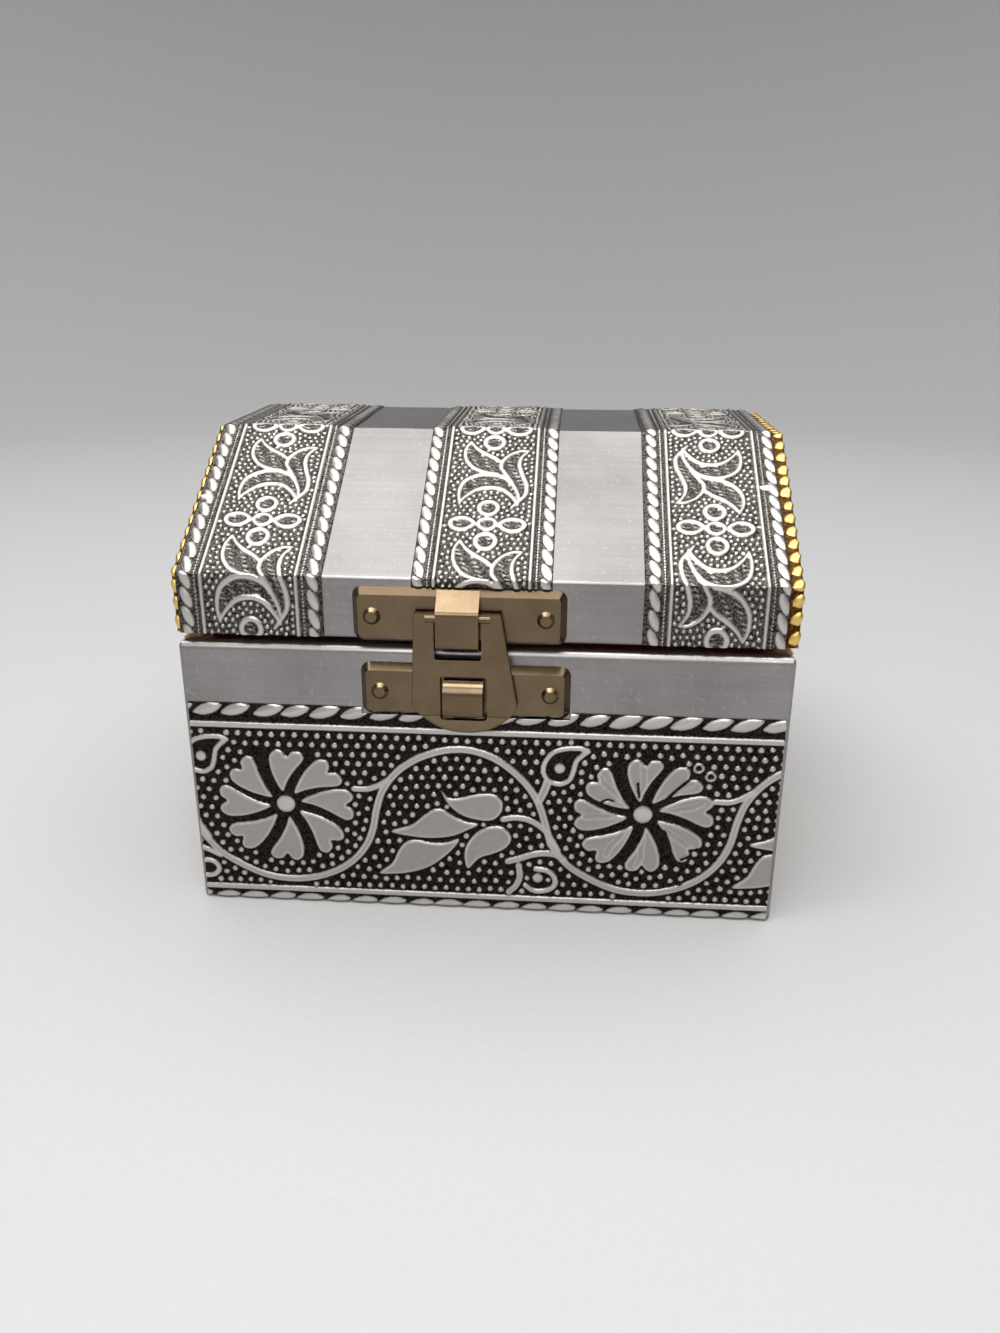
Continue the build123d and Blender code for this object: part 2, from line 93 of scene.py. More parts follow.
lens = bpy.data.cameras.new("camera")
lens.sensor_width = SENSOR
lens.lens = FOCAL_PX * SENSOR / PHOTO_HEIGHT
lens.clip_start, lens.clip_end = 0.01, 20
camera = bpy.data.objects.new("camera", lens)
camera.matrix_world = Matrix.Translation(EYE) @ Matrix((right, up, -ahead)).transposed().to_4x4()
bpy.context.scene.collection.objects.link(camera)
bpy.context.scene.camera = camera
print("lens", round(lens.lens, 2), "mm")

# %% [markdown]
# Metal shows its room, so the room is kept simple: a pale floor that curves up into a wall all round, so
# that no horizon is mirrored or seen from any side, a pale world above it and four soft lamps. The wide
# lamp overhead is what the sloping front of the lid mirrors. The others show in folds, in bevels and in
# the upper edges of the chased work.

# %% Helpers for shader nodes and objects
def put(tree, kind, inputs=None, **settings):
    """Adds one node, sets its options, and links or sets its inputs by name or number."""
    made = tree.nodes.new(kind)
    for name, value in settings.items():
        setattr(made, name, value)
    for name, value in (inputs or {}).items():
        socket = made.inputs[name]
        if isinstance(value, bpy.types.NodeSocket):
            tree.links.new(value, socket)
        else:
            socket.default_value = value
    return made


def grey(value):
    """An opaque grey."""
    return (value, value, value, 1)


def new_finish(name, constants):
    """A material with its Principled shader's constant sockets set, and the piece's own coordinates."""
    made = bpy.data.materials.new(name)
    made.use_nodes = True
    shader = made.node_tree.nodes["Principled BSDF"]
    for label, value in constants.items():
        shader.inputs[label].default_value = value
    return made, made.node_tree, shader, put(made.node_tree, "ShaderNodeTexCoord").outputs["Object"]


def spread_out(tree, value, low, high, to_low=0.0, to_high=1.0):
    """Maps one range of numbers to another and stops at its ends."""
    return put(tree, "ShaderNodeMapRange", {"Value": value, "From Min": low, "From Max": high,
                                            "To Min": to_low, "To Max": to_high}).outputs["Result"]


def noise(tree, vector, scale, detail, **more):
    """Even noise, as a number from 0 to 1."""
    inputs = {"Vector": vector, "Scale": scale, "Detail": detail, **more}
    return put(tree, "ShaderNodeTexNoise", inputs).outputs["Fac"]


def new_object(name, points, faces, smooth):
    """A mesh object in metres. smooth holds a flag for each face."""
    mesh = bpy.data.meshes.new(name)
    mesh.from_pydata(points, [], faces)
    mesh.polygons.foreach_set("use_smooth", smooth)
    made = bpy.data.objects.new(name, mesh)
    bpy.context.scene.collection.objects.link(made)
    return made


# %% The floor
FLOOR_GREY, FLOOR_MOTTLE = 0.44, 0.02
SWEEP_FLAT, SWEEP_BEND, SWEEP_HIGH, SWEEP_SIDES = 0.6, 0.6, 1.6, 96


def round_sweep():
    """A flat floor that curves up into a round wall, as rings of points."""
    bends = np.linspace(0, math.pi / 2, 17)
    profile = [(SWEEP_FLAT / 2, 0),
               *((SWEEP_FLAT + SWEEP_BEND * math.sin(a), SWEEP_BEND * (1 - math.cos(a))) for a in bends),
               (SWEEP_FLAT + SWEEP_BEND, SWEEP_HIGH)]
    turns = [2 * math.pi * k / SWEEP_SIDES for k in range(SWEEP_SIDES)]
    points = [(r * math.cos(a), r * math.sin(a), z) for r, z in profile for a in turns]
    faces = [list(range(SWEEP_SIDES))]
    for start in range(0, len(points) - SWEEP_SIDES, SWEEP_SIDES):
        for k in range(SWEEP_SIDES):
            one, two = start + k, start + (k + 1) % SWEEP_SIDES
            faces.append([one, one + SWEEP_SIDES, two + SWEEP_SIDES, two])
    return new_object("floor", points, faces, [True] * len(faces))


floor = round_sweep()
floor_paint, tree, shader, where = new_finish("pale_floor", {"Roughness": 0.7})
mottle = spread_out(tree, noise(tree, where, 900.0, 3.0), 0, 1, FLOOR_GREY - FLOOR_MOTTLE,
                    FLOOR_GREY + FLOOR_MOTTLE)
tree.links.new(mottle, shader.inputs["Base Color"])
floor.data.materials.append(floor_paint)
print("the floor is", round(2 * (SWEEP_FLAT + SWEEP_BEND), 2), "m across")

# %% World and lamps
WORLD_GREY, WORLD_STRENGTH = 0.8, 0.26
world = bpy.data.worlds.new("studio")
world.use_nodes = True
sky = world.node_tree.nodes["Background"].inputs
sky["Color"].default_value, sky["Strength"].default_value = grey(WORLD_GREY), WORLD_STRENGTH
bpy.context.scene.world = world


def soft_lamp(name, at, aim, size, watts):
    """An area lamp that looks from one point to another, both in metres."""
    data = bpy.data.lights.new(name, "AREA")
    data.shape, data.size, data.size_y = "RECTANGLE", size[0], size[1]
    data.energy = watts
    made = bpy.data.objects.new(name, data)
    made.location = at
    made.rotation_euler = (Vector(aim) - Vector(at)).to_track_quat("-Z", "Y").to_euler()
    bpy.context.scene.collection.objects.link(made)


soft_lamp("overhead", (0.0, 0.08, 0.78), (0, 0.02, 0.05), (1.3, 1.1), 9.4)
soft_lamp("glint", (-0.1, -0.26, 0.70), (0, -0.04, 0.05), (0.6, 0.2), 2.6)
soft_lamp("left_front", (-0.65, -0.5, 0.4), (0, 0, 0.04), (0.3, 0.4), 0.4)
soft_lamp("low_front", (0, -0.647, 0.466), (0, 0, 0.03), (0.6, 0.4), 2.9)
bpy.context.scene.view_settings.view_transform = "Standard"
print("lamps:", len(bpy.data.lights))

# %% [markdown]
# The silver front is a thin sheet pressed over a carved die: flowers, a vine and hundreds of dots stand
# up, and the ground between them is blackened. A bump map would look flat from the side and the real
# sheet doesn't, so the die is drawn as a table of heights, and each sheet is a fine mesh raised by it.
# The die also keeps how far each point is from the drawn motifs, so that the dots can fill what is left.

# %% The die: a table of heights that motifs are pressed into
STEP, FAR_OFF = 0.2, 9.0


def blank_die(left, right_, low, high):
    """An empty die in millimetres. gap is the distance to the nearest motif."""
    xs, zs = (np.arange(a, b + STEP / 2, STEP) for a, b in ((left, right_), (low, high)))
    shape = (len(zs), len(xs))
    return {"x": xs, "z": zs, "rise": np.zeros(shape), "raised": np.zeros(shape),
            "gap": np.full(shape, FAR_OFF)}


def smooth(a, b, value):
    """0 before a, 1 after b, and an even curve between."""
    t = np.clip((value - a) / (b - a), 0, 1)
    return t * t * (3 - 2 * t)


def window(die, points, margin):
    """The part of the die round some points, as two slices and its own grid. It can be empty."""
    lo, hi = np.min(points, 0) - margin, np.max(points, 0) + margin
    i0, i1 = np.searchsorted(die["x"], (lo[0], hi[0]))
    j0, j1 = np.searchsorted(die["z"], (lo[1], hi[1]))
    gx, gz = np.meshgrid(die["x"][i0:i1], die["z"][j0:j1])
    return (slice(j0, j1), slice(i0, i1)), gx, gz


def lift(die, part, **tables):
    """Brings parts of the die's tables up to new values, where those are higher."""
    for name, values in tables.items():
        die[name][part] = np.maximum(die[name][part], values)


def keep_clear(die, part, held):
    """Keeps dots out of a place."""
    die["gap"][part] = np.where(held, np.minimum(die["gap"][part], 0), die["gap"][part])


def press(die, part, inside, height, rim_highlight=0.0):
    """Raises a motif. inside is the depth within its edge, negative outside it. Its rim is rubbed
    bright, partly as wear and partly as a painted highlight, and the last argument takes some of that from
    its middle."""
    lift(die, part, rise=height, raised=smooth(-0.08, 0.16, inside) - rim_highlight * smooth(0.3, 0.6, inside))
    die["gap"][part] = np.minimum(die["gap"][part], -inside)


# %% Lines and outlines
def curve(points, closed=False, per=6):
    """A smooth line through the points, after Catmull and Rom's rule."""
    p = np.array(points, float)
    ends = (p[-1:], p[:2]) if closed else (2 * p[:1] - p[1:2], 2 * p[-1:] - p[-2:-1])
    ring = np.vstack([ends[0], p, ends[1]])
    t = np.linspace(0, 1, per, endpoint=False)[:, None]
    out = [0.5 * (2 * b + (c - a) * t + (2 * a - 5 * b + 4 * c - d) * t**2 + (3 * b - a - 3 * c + d) * t**3)
           for a, b, c, d in zip(ring[:-3], ring[1:-2], ring[2:-1], ring[3:])]
    return np.vstack(out if closed else [*out, p[-1:]])


def far_from(gx, gz, line):
    """Distance from each grid point to a line of points."""
    best = np.full(gx.shape, 99.0)
    for a, b in zip(line[:-1], line[1:]):
        run = b - a
        t = np.clip(((gx - a[0]) * run[0] + (gz - a[1]) * run[1]) / max(run @ run, 1e-9), 0, 1)
        best = np.minimum(best, np.hypot(gx - a[0] - t * run[0], gz - a[1] - t * run[1]))
    return best


def within(gx, gz, outline):
    """True where the grid is inside a closed outline."""
    crossings = np.zeros(gx.shape, int)
    for a, b in zip(outline, np.roll(outline, -1, 0)):
        spans = (a[1] > gz) != (b[1] > gz)
        if spans.any():
            crossings += spans & (gx < (b[0] - a[0]) * (gz - a[1]) / (b[1] - a[1] + 1e-12) + a[0])
    return crossings % 2 == 1


def moved(points, middle, degrees, scale=1.0):
    """Points turned and scaled about the origin, then moved to a middle."""
    c, s = math.cos(math.radians(degrees)) * scale, math.sin(math.radians(degrees)) * scale
    p = np.asarray(points, float)
    return np.stack([middle[0] + p[:, 0] * c - p[:, 1] * s, middle[1] + p[:, 0] * s + p[:, 1] * c], 1)


# %% [markdown]
# Few kinds of mark make the whole pattern. A ribbon is a raised line with a hollow back, a leaf is flat
# with a lifted rim, a bead is one turn of a rope, and a dot is a round punch.

# %% Ribbons, leaves and strokes
SOFT_EDGE, VEIN_HOLLOW, LEAF_HOLLOW = 0.22, 0.14, 0.16


def ribbon(die, line, width, closed=False):
    """A raised line with a slightly hollow back, like the vine."""
    line = np.asarray(line, float)
    if closed:
        line = np.vstack([line, line[:1]])
    part, gx, gz = window(die, line, width + 1.5)
    inside = width / 2 - far_from(gx, gz, line)
    wide = width > 1
    hollow = VEIN_HOLLOW * smooth(0.3, 0.55, inside) if wide else 0
    # A wide ribbon is brighter at its edges than in its middle: wear and a painted highlight.
    press(die, part, inside, smooth(-SOFT_EDGE, SOFT_EDGE, inside) - hollow, rim_highlight=0.3 if wide else 0)


def leaf(die, outline):
    """A flat raised leaf or petal with a lifted rim, brighter in colour as wear and as a painted highlight."""
    part, gx, gz = window(die, outline, 2.0)
    edge = far_from(gx, gz, np.vstack([outline, outline[:1]]))
    inside = np.where(within(gx, gz, outline), edge, -edge)
    hollow = LEAF_HOLLOW * smooth(0.35, 1.1, inside)
    press(die, part, inside, smooth(-0.25, 0.25, inside) - hollow, rim_highlight=0.36)


def stroke(die, line, widths):
    """A raised line that swells and thins: widths are given at even steps along it."""
    part, gx, gz = window(die, line, max(widths) + 1.5)
    local = np.interp(np.linspace(0, 1, len(line) - 1), np.linspace(0, 1, len(widths)), widths)
    inside = np.full(gx.shape, -FAR_OFF)
    for a, b, width in zip(line[:-1], line[1:], local):
        inside = np.maximum(inside, width / 2 - far_from(gx, gz, np.array([a, b])))
    press(die, part, inside, smooth(-SOFT_EDGE, 0.24, inside))


# %% Beads, dots and knobs
BEAD_RISE, DOT_RISE = 0.95, 0.85


def bead(die, middle, half, lean):
    """One turn of the rope edge: a pointed lens, leaning by an angle in degrees."""
    part, gx, gz = window(die, [middle], half[0] + 1)
    c, s = math.cos(math.radians(lean)), math.sin(math.radians(lean))
    along = (gx - middle[0]) * c + (gz - middle[1]) * s
    across = (gz - middle[1]) * c - (gx - middle[0]) * s
    room = half[1] * np.clip(1 - np.abs(along / half[0]) ** 2.4, 0, 1)
    inside = np.where(np.abs(along) < half[0], room - np.abs(across), -FAR_OFF)
    press(die, part, inside, BEAD_RISE * np.clip(inside / half[1], 0, 1) ** 0.7)


def rope_bead(die, middle, half, shear):
    """One turn of a tight rope that runs up the die. Its joints fall to the right by the shear."""
    part, gx, gz = window(die, [middle], max(half) + 1.2)
    across = np.abs(gx - middle[0]) / half[0]
    along = np.abs(gz - middle[1] + shear * (gx - middle[0])) / half[1]
    inside = (1 - (across**2.3 + along**2.3) ** (1 / 2.3)) * half[0]
    press(die, part, inside, BEAD_RISE * np.clip(inside / half[0], 0, 1) ** 0.65)


def dot(die, middle, radius):
    """A punched dot, round on top. Only its top takes the bare metal colour, a painted highlight, and its
    sides keep the dark ground colour as painted shade.
    """
    part, gx, gz = window(die, [middle], radius + 0.3)
    away = np.hypot(gx - middle[0], gz - middle[1])
    dome = np.sqrt(np.clip(1 - (away / (radius * 1.12)) ** 2, 0, 1))
    lift(die, part, rise=DOT_RISE * dome, raised=1 - smooth(radius * 0.6, radius * 1.05, away))


def boss(die, middle, radius):
    """A low round knob, brighter in colour at its rim as wear and as a painted highlight."""
    part, gx, gz = window(die, [middle], radius + 0.6)
    inside = radius - np.hypot(gx - middle[0], gz - middle[1])
    press(die, part, inside, BEAD_RISE * smooth(-0.2, 0.5, inside), rim_highlight=0.3)


def clear_inside(die, outline):
    """Keeps dots out of an outline."""
    part, gx, gz = window(die, outline, 0.2)
    keep_clear(die, part, within(gx, gz, outline))


def oval(middle, half, point=0.0):
    """Points round an oval. A point above 0 narrows the side that looks at the flower's middle."""
    turns = np.linspace(0, 2 * math.pi, 28, endpoint=False)
    x, z = half[0] * np.cos(turns), half[1] * np.sin(turns)
    z = z * (1 - point * np.clip(-np.sign(middle[0]) * np.cos(turns), 0, 1) ** 2)
    return np.stack([middle[0] + x, middle[1] + z], 1)


# %% [markdown]
# The ground between the motifs is punched all over. A punch is set by eye, in rows that follow the edge
# of the nearest motif, so the dots here start in rows and then push each other and the motifs away.

# %% Dots that fill the ground
ROW_HEIGHT, JITTER, ROUNDS, PUSH_DOTS, PUSH_EDGE, CLOSEST = 0.866, 0.06, 40, 0.28, 0.8, 0.62


def fill_with_dots(die, area, spacing, radius, seed, keep_off=0.35, wrap=None):
    """Spreads dots evenly over what the motifs leave free, and gives their number. wrap is the height
    of a die that repeats, so that the dots meet across its ends."""
    left, right_, low, high = area
    random = np.random.default_rng(seed)
    rows = (high - low) / (spacing * ROW_HEIGHT)
    count = round(rows / 2) * 2 if wrap else int(rows)
    rows = low + (np.arange(count) + 0.5) * (high - low) / count
    spots = np.array([(x + (k % 2) * spacing / 2, z) for k, z in enumerate(rows)
                      for x in np.arange(left + spacing / 2, right_, spacing)])
    spots = spots + random.normal(0, spacing * JITTER, spots.shape)
    slope_z, slope_x = np.gradient(die["gap"], STEP)

    def look(table):
        x, z = spots[:, 0], spots[:, 1] % wrap if wrap else spots[:, 1]
        i = np.clip(((x - die["x"][0]) / STEP).round().astype(int), 0, len(die["x"]) - 1)
        j = np.clip(((z - die["z"][0]) / STEP).round().astype(int), 0, len(die["z"]) - 1)
        return table[j, i]

    spots = spots[look(die["gap"]) > 0.1]
    wanted = radius + keep_off
    for _ in range(ROUNDS):
        apart = spots[:, None] - spots[None]
        if wrap:
            apart[..., 1] = (apart[..., 1] + wrap / 2) % wrap - wrap / 2
        away = np.hypot(apart[..., 0], apart[..., 1]) + 1e-9
        np.fill_diagonal(away, 99)
        push = np.clip(spacing - away, 0, None) / away
        spots = spots + PUSH_DOTS * (apart * push[..., None]).sum(1)
        short = np.clip(wanted - look(die["gap"]), 0, 1.0)
        spots = spots + PUSH_EDGE * short[:, None] * np.stack([look(slope_x), look(slope_z)], 1)
        spots[:, 0] = np.clip(spots[:, 0], left + radius, right_ - radius)
        spots[:, 1] = spots[:, 1] % wrap if wrap else np.clip(spots[:, 1], low + radius, high - radius)
    kept = []
    for spot, free in zip(spots, look(die["gap"])):
        if free > radius * 0.75 and all(math.dist(spot, other) > spacing * CLOSEST for other in kept):
            kept.append(spot)
            size = radius * min(1.0, 0.55 + 0.5 * free / wanted) * (0.92 + 0.16 * random.random())
            for shift in ((-wrap, 0, wrap) if wrap else (0,)):
                dot(die, (spot[0], spot[1] + shift), size)
    return len(kept)


# %% [markdown]
# The front carries one wave of vine. Under each arch sits a flower of eight heart-shaped petals that
# swirl a little, and in the next bay a spray of four leaves, a bud and a curl. The pattern repeats
# every 62 mm and runs off both ends, as it does where a long pressed sheet is cut to size.

# %% The band's vine, leaves, bud and curl, as points in millimetres
REPEAT = 62.2
VINE = [(-50.2, 13.8), (-48, 10.7), (-45.8, 8.7), (-42.4, 6.7), (-39.1, 5.3), (-35.6, 4.7), (-32, 4.8),
        (-28.4, 5.7), (-25.1, 7.3), (-22.4, 9.6), (-20.4, 12.4), (-19.2, 15.6), (-18.4, 19.6), (-17.2, 23.2),
        (-14.7, 26.7), (-11.2, 29.3), (-7.2, 30.9), (-3.5, 31.4), (-0.3, 30.9), (2.7, 29.6), (5.6, 27.4),
        (8, 24.8), (9.6, 22.1), (10.7, 18.9), (-50.2 + REPEAT, 13.8)]
LEAF_STEM = [(3.7, 18.3), (5.6, 18.7), (7.7, 18.5), (9.6, 17.6), (11.2, 16.2), (12.3, 14.4), (13.3, 12.6)]
BRANCHES = [([(-22.3, 23.2), (-20, 23.2), (-18.2, 23.9), (-16.2, 25.2)], 1.05), (LEAF_STEM, 1.1),
            ([(11.3, 25.9), (10.7, 24.1), (9.9, 22.3)], 1.5),
            ([(14.3, 10.9), (12.8, 11.7), (10.9, 11.9), (8.8, 11.5), (6.7, 10.7), (4.6, 10)], 1.2),
            ([(9.5, 8.7), (11.4, 8.4), (12.6, 7.5), (13, 6), (12.2, 4.8), (10.7, 4.2), (9.1, 4.3),
              (7.7, 5.3)], 1.0), ([(6.5, 9.3), (6.7, 7), (6, 5.1), (4.8, 3.8)], 1.15)]
LEAVES = [[(-7.1, 23.6), (-5.9, 22.2), (-4, 22.1), (-1.3, 22.9), (1.1, 23.2), (2.7, 22.8), (3.6, 21.6),
           (3.4, 19.7), (2.1, 18.2), (0.3, 17.9), (-2.4, 18.4), (-4.5, 19.5), (-6.1, 21.3)],
          [(-16.1, 15.1), (-12.5, 16.5), (-10.1, 18.6), (-8.3, 19.8), (-6.7, 19.8), (-5, 18.6), (-2.9, 17.6),
           (-0.6, 17.1), (-2.4, 16), (-5, 14.7), (-8.3, 14.1), (-12, 14.2)],
          [(-18.4, 6.6), (-16, 8.8), (-14.9, 11.2), (-13.6, 13), (-11.5, 13.6), (-9.3, 13.2), (-6.7, 13.2),
           (-4, 14.1), (-5, 12.2), (-7.2, 9.9), (-9.9, 8), (-13.1, 6.9), (-16, 6.5)],
          [(-2.5, 8.2), (-3.1, 10.6), (-2.7, 13), (-1.1, 15.4), (1.3, 16.8), (3.5, 16.8), (4.8, 15.7),
           (5.1, 14.1), (4, 12.5), (2, 11.4), (-0.5, 10.4)]]
LEAVES = [curve(outline, closed=True, per=4) for outline in LEAVES]
BUD = [(16.8, 32.3), (14.4, 32.2), (12.1, 31.4), (10.8, 29.6), (10.5, 27.7), (11.5, 26.1), (13.3, 25.5),
       (14.9, 26.3), (15.6, 28), (16, 29.8), (17, 31), (18.4, 32.1)]
PIPS = [(13.28, 28.5), (9.87, 6.9)]
EDGE_BRANCH, EDGE_RING = [(-52, 10.9), (-50, 10.3), (-47.2, 8.9)], ((-49.8, 6.2), (2.1, 1.6))
PETAL = curve([(-0.5, 2.6), (-1.8, 5.0), (-2.6, 7.8), (-2.6, 10.2), (-1.5, 11.4), (-0.4, 11.1),
               (0.4, 10.1), (1.3, 11.1), (2.8, 11.1), (3.4, 10.1), (2.9, 8.9), (1.5, 6.9), (0.3, 4.6)],
              closed=True, per=4)
PETAL_TURN, PETAL_REACH = [2, 4, -3, -5, 0, 3, -1, -6], [0.91, 1.0, 1.06, 1.03, 0.99, 1.06, 1.04, 0.97]
CREASE = [(0.2, 4.5), (1.2, 6.5), (1.6, 8.5), (3, 10)]
FOLDED = [([(31.5, 17.2), (32.2, 15.5), (32.7, 13.8)], 0.5),
          ([(34.7, 11.7), (36.1, 12.5), (37.3, 14)], 0.45), ([(31.3, 23.0), (33.1, 25.1), (35, 27)], 0.5),
          ([(26.6, 26.2), (26.9, 23.6)], 0.4), ([(34.6, 6.6), (36.6, 9)], 0.45),
          ([(20.2, 22.2), (21.6, 22.9), (22.6, 22.6)], 0.35)]
print("points in one wave of vine:", len(VINE))

# %% [markdown]
# The right-hand flower was crushed when the sheet was bent: a crease runs down each petal, some places
# are folded over, and two stray ring punches sit beside it. Every rope bead is a little unlike the next.

# %% Draw the band's die
ROPE_PITCH, FLOWER_ROOM = 5.07, 11.0


def crease(die, middle, degrees, side):
    """A dented line along a petal, where the sheet has been pushed in, brighter along both its shoulders as
    wear and as a painted highlight.
    """
    line = curve(moved(np.array(CREASE) * (side, 1), middle, degrees))
    part, gx, gz = window(die, line, 1.5)
    away, high = far_from(gx, gz, line), die["rise"][part] > 0.5
    die["rise"][part] -= 0.5 * np.clip(1 - away / 0.55, 0, 1) * high
    painted_highlight_flank = smooth(0.3, 0.45, away) * (1 - smooth(0.55, 0.8, away)) * (die["raised"][part] > 0.5)
    lift(die, part, raised=painted_highlight_flank)


def fold_over(die, line, width):
    """A folded-over place: a dark line through what is raised."""
    line = curve(line)
    part, gx, gz = window(die, line, width + 0.5)
    shut = 1 - smooth(width * 0.35, width * 0.8, far_from(gx, gz, line))
    die["rise"][part] *= 1 - 0.75 * shut
    die["raised"][part] *= 1 - shut


def rope_row(die, z, pitch, half, lean, seed):
    """A row of rope beads, each a little unlike the next, as a hand-cut die leaves them. It gives their
    number."""
    random = np.random.default_rng(seed)
    places = np.arange(die["x"][0] - 1, die["x"][-1] + 3, pitch)
    for x in places:
        shift, swell, tilt = random.normal(0, 0.12), random.normal(1, 0.05), random.normal(0, 2)
        bead(die, (x + shift, z), (half[0] * swell, half[1] * swell), lean + tilt)
    return len(places)


band_die = blank_die(-51, 51, 0, 39)
rope_row(band_die, 37.45, ROPE_PITCH, (2.8, 1.02), 17, seed=3)
rope_row(band_die, 0.3, ROPE_PITCH, (2.95, 1.2), 14, seed=4)
for z in (34.6, 2.55):
    ribbon(band_die, [(-52, z), (52, z)], 1.05)
for shift in (-REPEAT, 0, REPEAT):
    ribbon(band_die, curve(VINE) + (shift, 0), 1.3)
    for line, width in BRANCHES[:3 if shift < 0 else None]:
        ribbon(band_die, curve(line) + (shift, 0), width)
    bud = curve(BUD, per=4)[:-1] + (shift, 0)
    clear_inside(band_die, bud)
    ribbon(band_die, bud, 0.9, closed=True)
    for outline in LEAVES:
        leaf(band_die, outline + (shift, 0))
    for x, z in PIPS:
        if x + shift > band_die["x"][0] - 0.5:
            dot(band_die, (x + shift, z), 1.05)
            away = np.hypot(band_die["x"][None] - x - shift, band_die["z"][:, None] - z)
            band_die["gap"] = np.minimum(band_die["gap"], away - 1.05)
ribbon(band_die, curve(EDGE_BRANCH), 1.0)
clear_inside(band_die, oval(*EDGE_RING))
ribbon(band_die, oval(*EDGE_RING), 0.95, closed=True)
for middle, first_turn, crumpled in (((-34.5, 19.8), 0, False), ((27.7, 20.3), -4, True)):
    for k, (turn, reach) in enumerate(zip(PETAL_TURN, PETAL_REACH)):
        degrees = -(45 * k + first_turn + turn)
        leaf(band_die, moved(PETAL * (1, reach), middle, degrees))
        if crumpled:
            crease(band_die, middle, degrees, 0.5 * math.sin(2.1 * k))
    dot(band_die, middle, 1.75)
    boss(band_die, middle, 1.6)
    clear_inside(band_die, oval(middle, (FLOWER_ROOM, FLOWER_ROOM)))
for line, width in FOLDED:
    fold_over(band_die, line, width)
for middle in ((38.7, 27.9), (36.6, 29.4)):
    ribbon(band_die, oval(middle, (0.75, 0.75)), 0.45, closed=True)
    clear_inside(band_die, oval(middle, (1.1, 1.1)))
print("dots on the band:",
      fill_with_dots(band_die, (-51, 51, 3.2, 33.95), 1.98, 0.54, seed=11, keep_off=0.36))

# %% [markdown]
# Each pressed sheet becomes a closed shell: a fine grid on its face, raised by the die, a skirt round
# its edge and a flat back. The face lies between the sheet's back and its outermost surface, so no
# height can leave the space that the CAD gives it. The die's mask goes with it as a vertex attribute,
# which the material reads to tell worn metal from black ground; where the mask is brighter at a motif's
# rim, that is partly wear and partly a painted highlight.

# %% From a die to a raised face
GROUND = 0.26


def read_die(die, u, v):
    """The die's rise and its mask between its grid points."""
    i = np.clip((u - die["x"][0]) / STEP, 0, len(die["x"]) - 1.001)
    j = np.clip((v - die["z"][0]) / STEP, 0, len(die["z"]) - 1.001)
    i0, j0 = i.astype(int), j.astype(int)
    a, b = i - i0, j - j0
    return [(t[j0, i0] * (1 - a) + t[j0, i0 + 1] * a) * (1 - b)
            + (t[j0 + 1, i0] * (1 - a) + t[j0 + 1, i0 + 1] * a) * b for t in (die["rise"], die["raised"])]


def raised_face(back, outer, rise):
    """Points between a sheet's back and its outermost surface."""
    return back + (outer - back) * (GROUND + (1 - GROUND) * rise)[..., None]


def grid_of(*axes):
    """A grid of points from arrays or numbers for x, y and z."""
    return np.stack(np.broadcast_arrays(*axes), -1)


def squares(number):
    """The four corners of each square in a grid of point numbers."""
    return np.stack([number[:-1, :-1], number[:-1, 1:], number[1:, 1:], number[1:, :-1]], -1)


# %% Closed shells
WELD = 1e-6


def finish_shell(name, points, quads, others, raised=None, weld=False):
    """Makes the object, drops unused points, turns its faces outward and stores the mask. The quads
    are shaded smooth and the others flat."""
    used = np.zeros(len(points), bool)
    used[quads.ravel()] = True
    for loop in others:
        used[list(loop)] = True
    renumber = np.cumsum(used) - 1
    faces = renumber[quads].tolist() + [renumber[list(loop)].tolist() for loop in others]
    is_smooth = [True] * len(quads) + [False] * len(others)
    made = new_object(name, (points[used] * MM).tolist(), faces, is_smooth)
    if raised is not None:
        values = np.zeros(len(points), np.float32)
        values[:raised.size] = raised.ravel()
        mask = made.data.attributes.new("raised", "FLOAT", "POINT")
        mask.data.foreach_set("value", values[used])
    made.data.validate()
    bm = bmesh.new()
    bm.from_mesh(made.data)
    if weld:
        bmesh.ops.remove_doubles(bm, verts=bm.verts, dist=WELD)
    bmesh.ops.recalc_face_normals(bm, faces=bm.faces)
    bm.to_mesh(made.data)
    bm.free()
    print(name, len(made.data.polygons), "faces")
    return made


def shell(name, face, back, raised=None, folds=(), notch=None):
    """A closed sheet from two grids of points in mm. folds are the rows where the back bends."""
    rows, cols = face.shape[:2]
    number = np.arange(rows * cols).reshape(rows, cols)
    keep = np.ones((rows - 1, cols - 1), bool)
    corners = [(0, 0), (0, cols - 1), (rows - 1, cols - 1), (rows - 1, 0)]
    if notch:
        first, last, row = notch
        keep[row:, first:last] = False
        corners[3:3] = [(rows - 1, last), (row, last), (row, first), (rows - 1, first)]
    steps = []
    for (r0, c0), (r1, c1) in zip(corners, corners[1:] + corners[:1]):
        count = max(abs(r1 - r0), abs(c1 - c0))
        steps += [(r0 + (r1 - r0) * k // count, c0 + (c1 - c0) * k // count) for k in range(count)]
    under = {s: rows * cols + k for k, s in enumerate(steps)}
    points = np.vstack([face.reshape(-1, 3), np.array([back[s] for s in steps])])
    skirt = [(number[one], under[one], under[two], number[two])
             for one, two in zip(steps, steps[1:] + steps[:1])]
    backs, stops = [], [0, *folds, rows - 1]
    for low, high in zip(stops[:-1], stops[1:]):
        backs.append([under[s] for s in steps if low <= s[0] <= high][::-1])
    return finish_shell(name, points, squares(number)[keep], skirt + backs, raised)


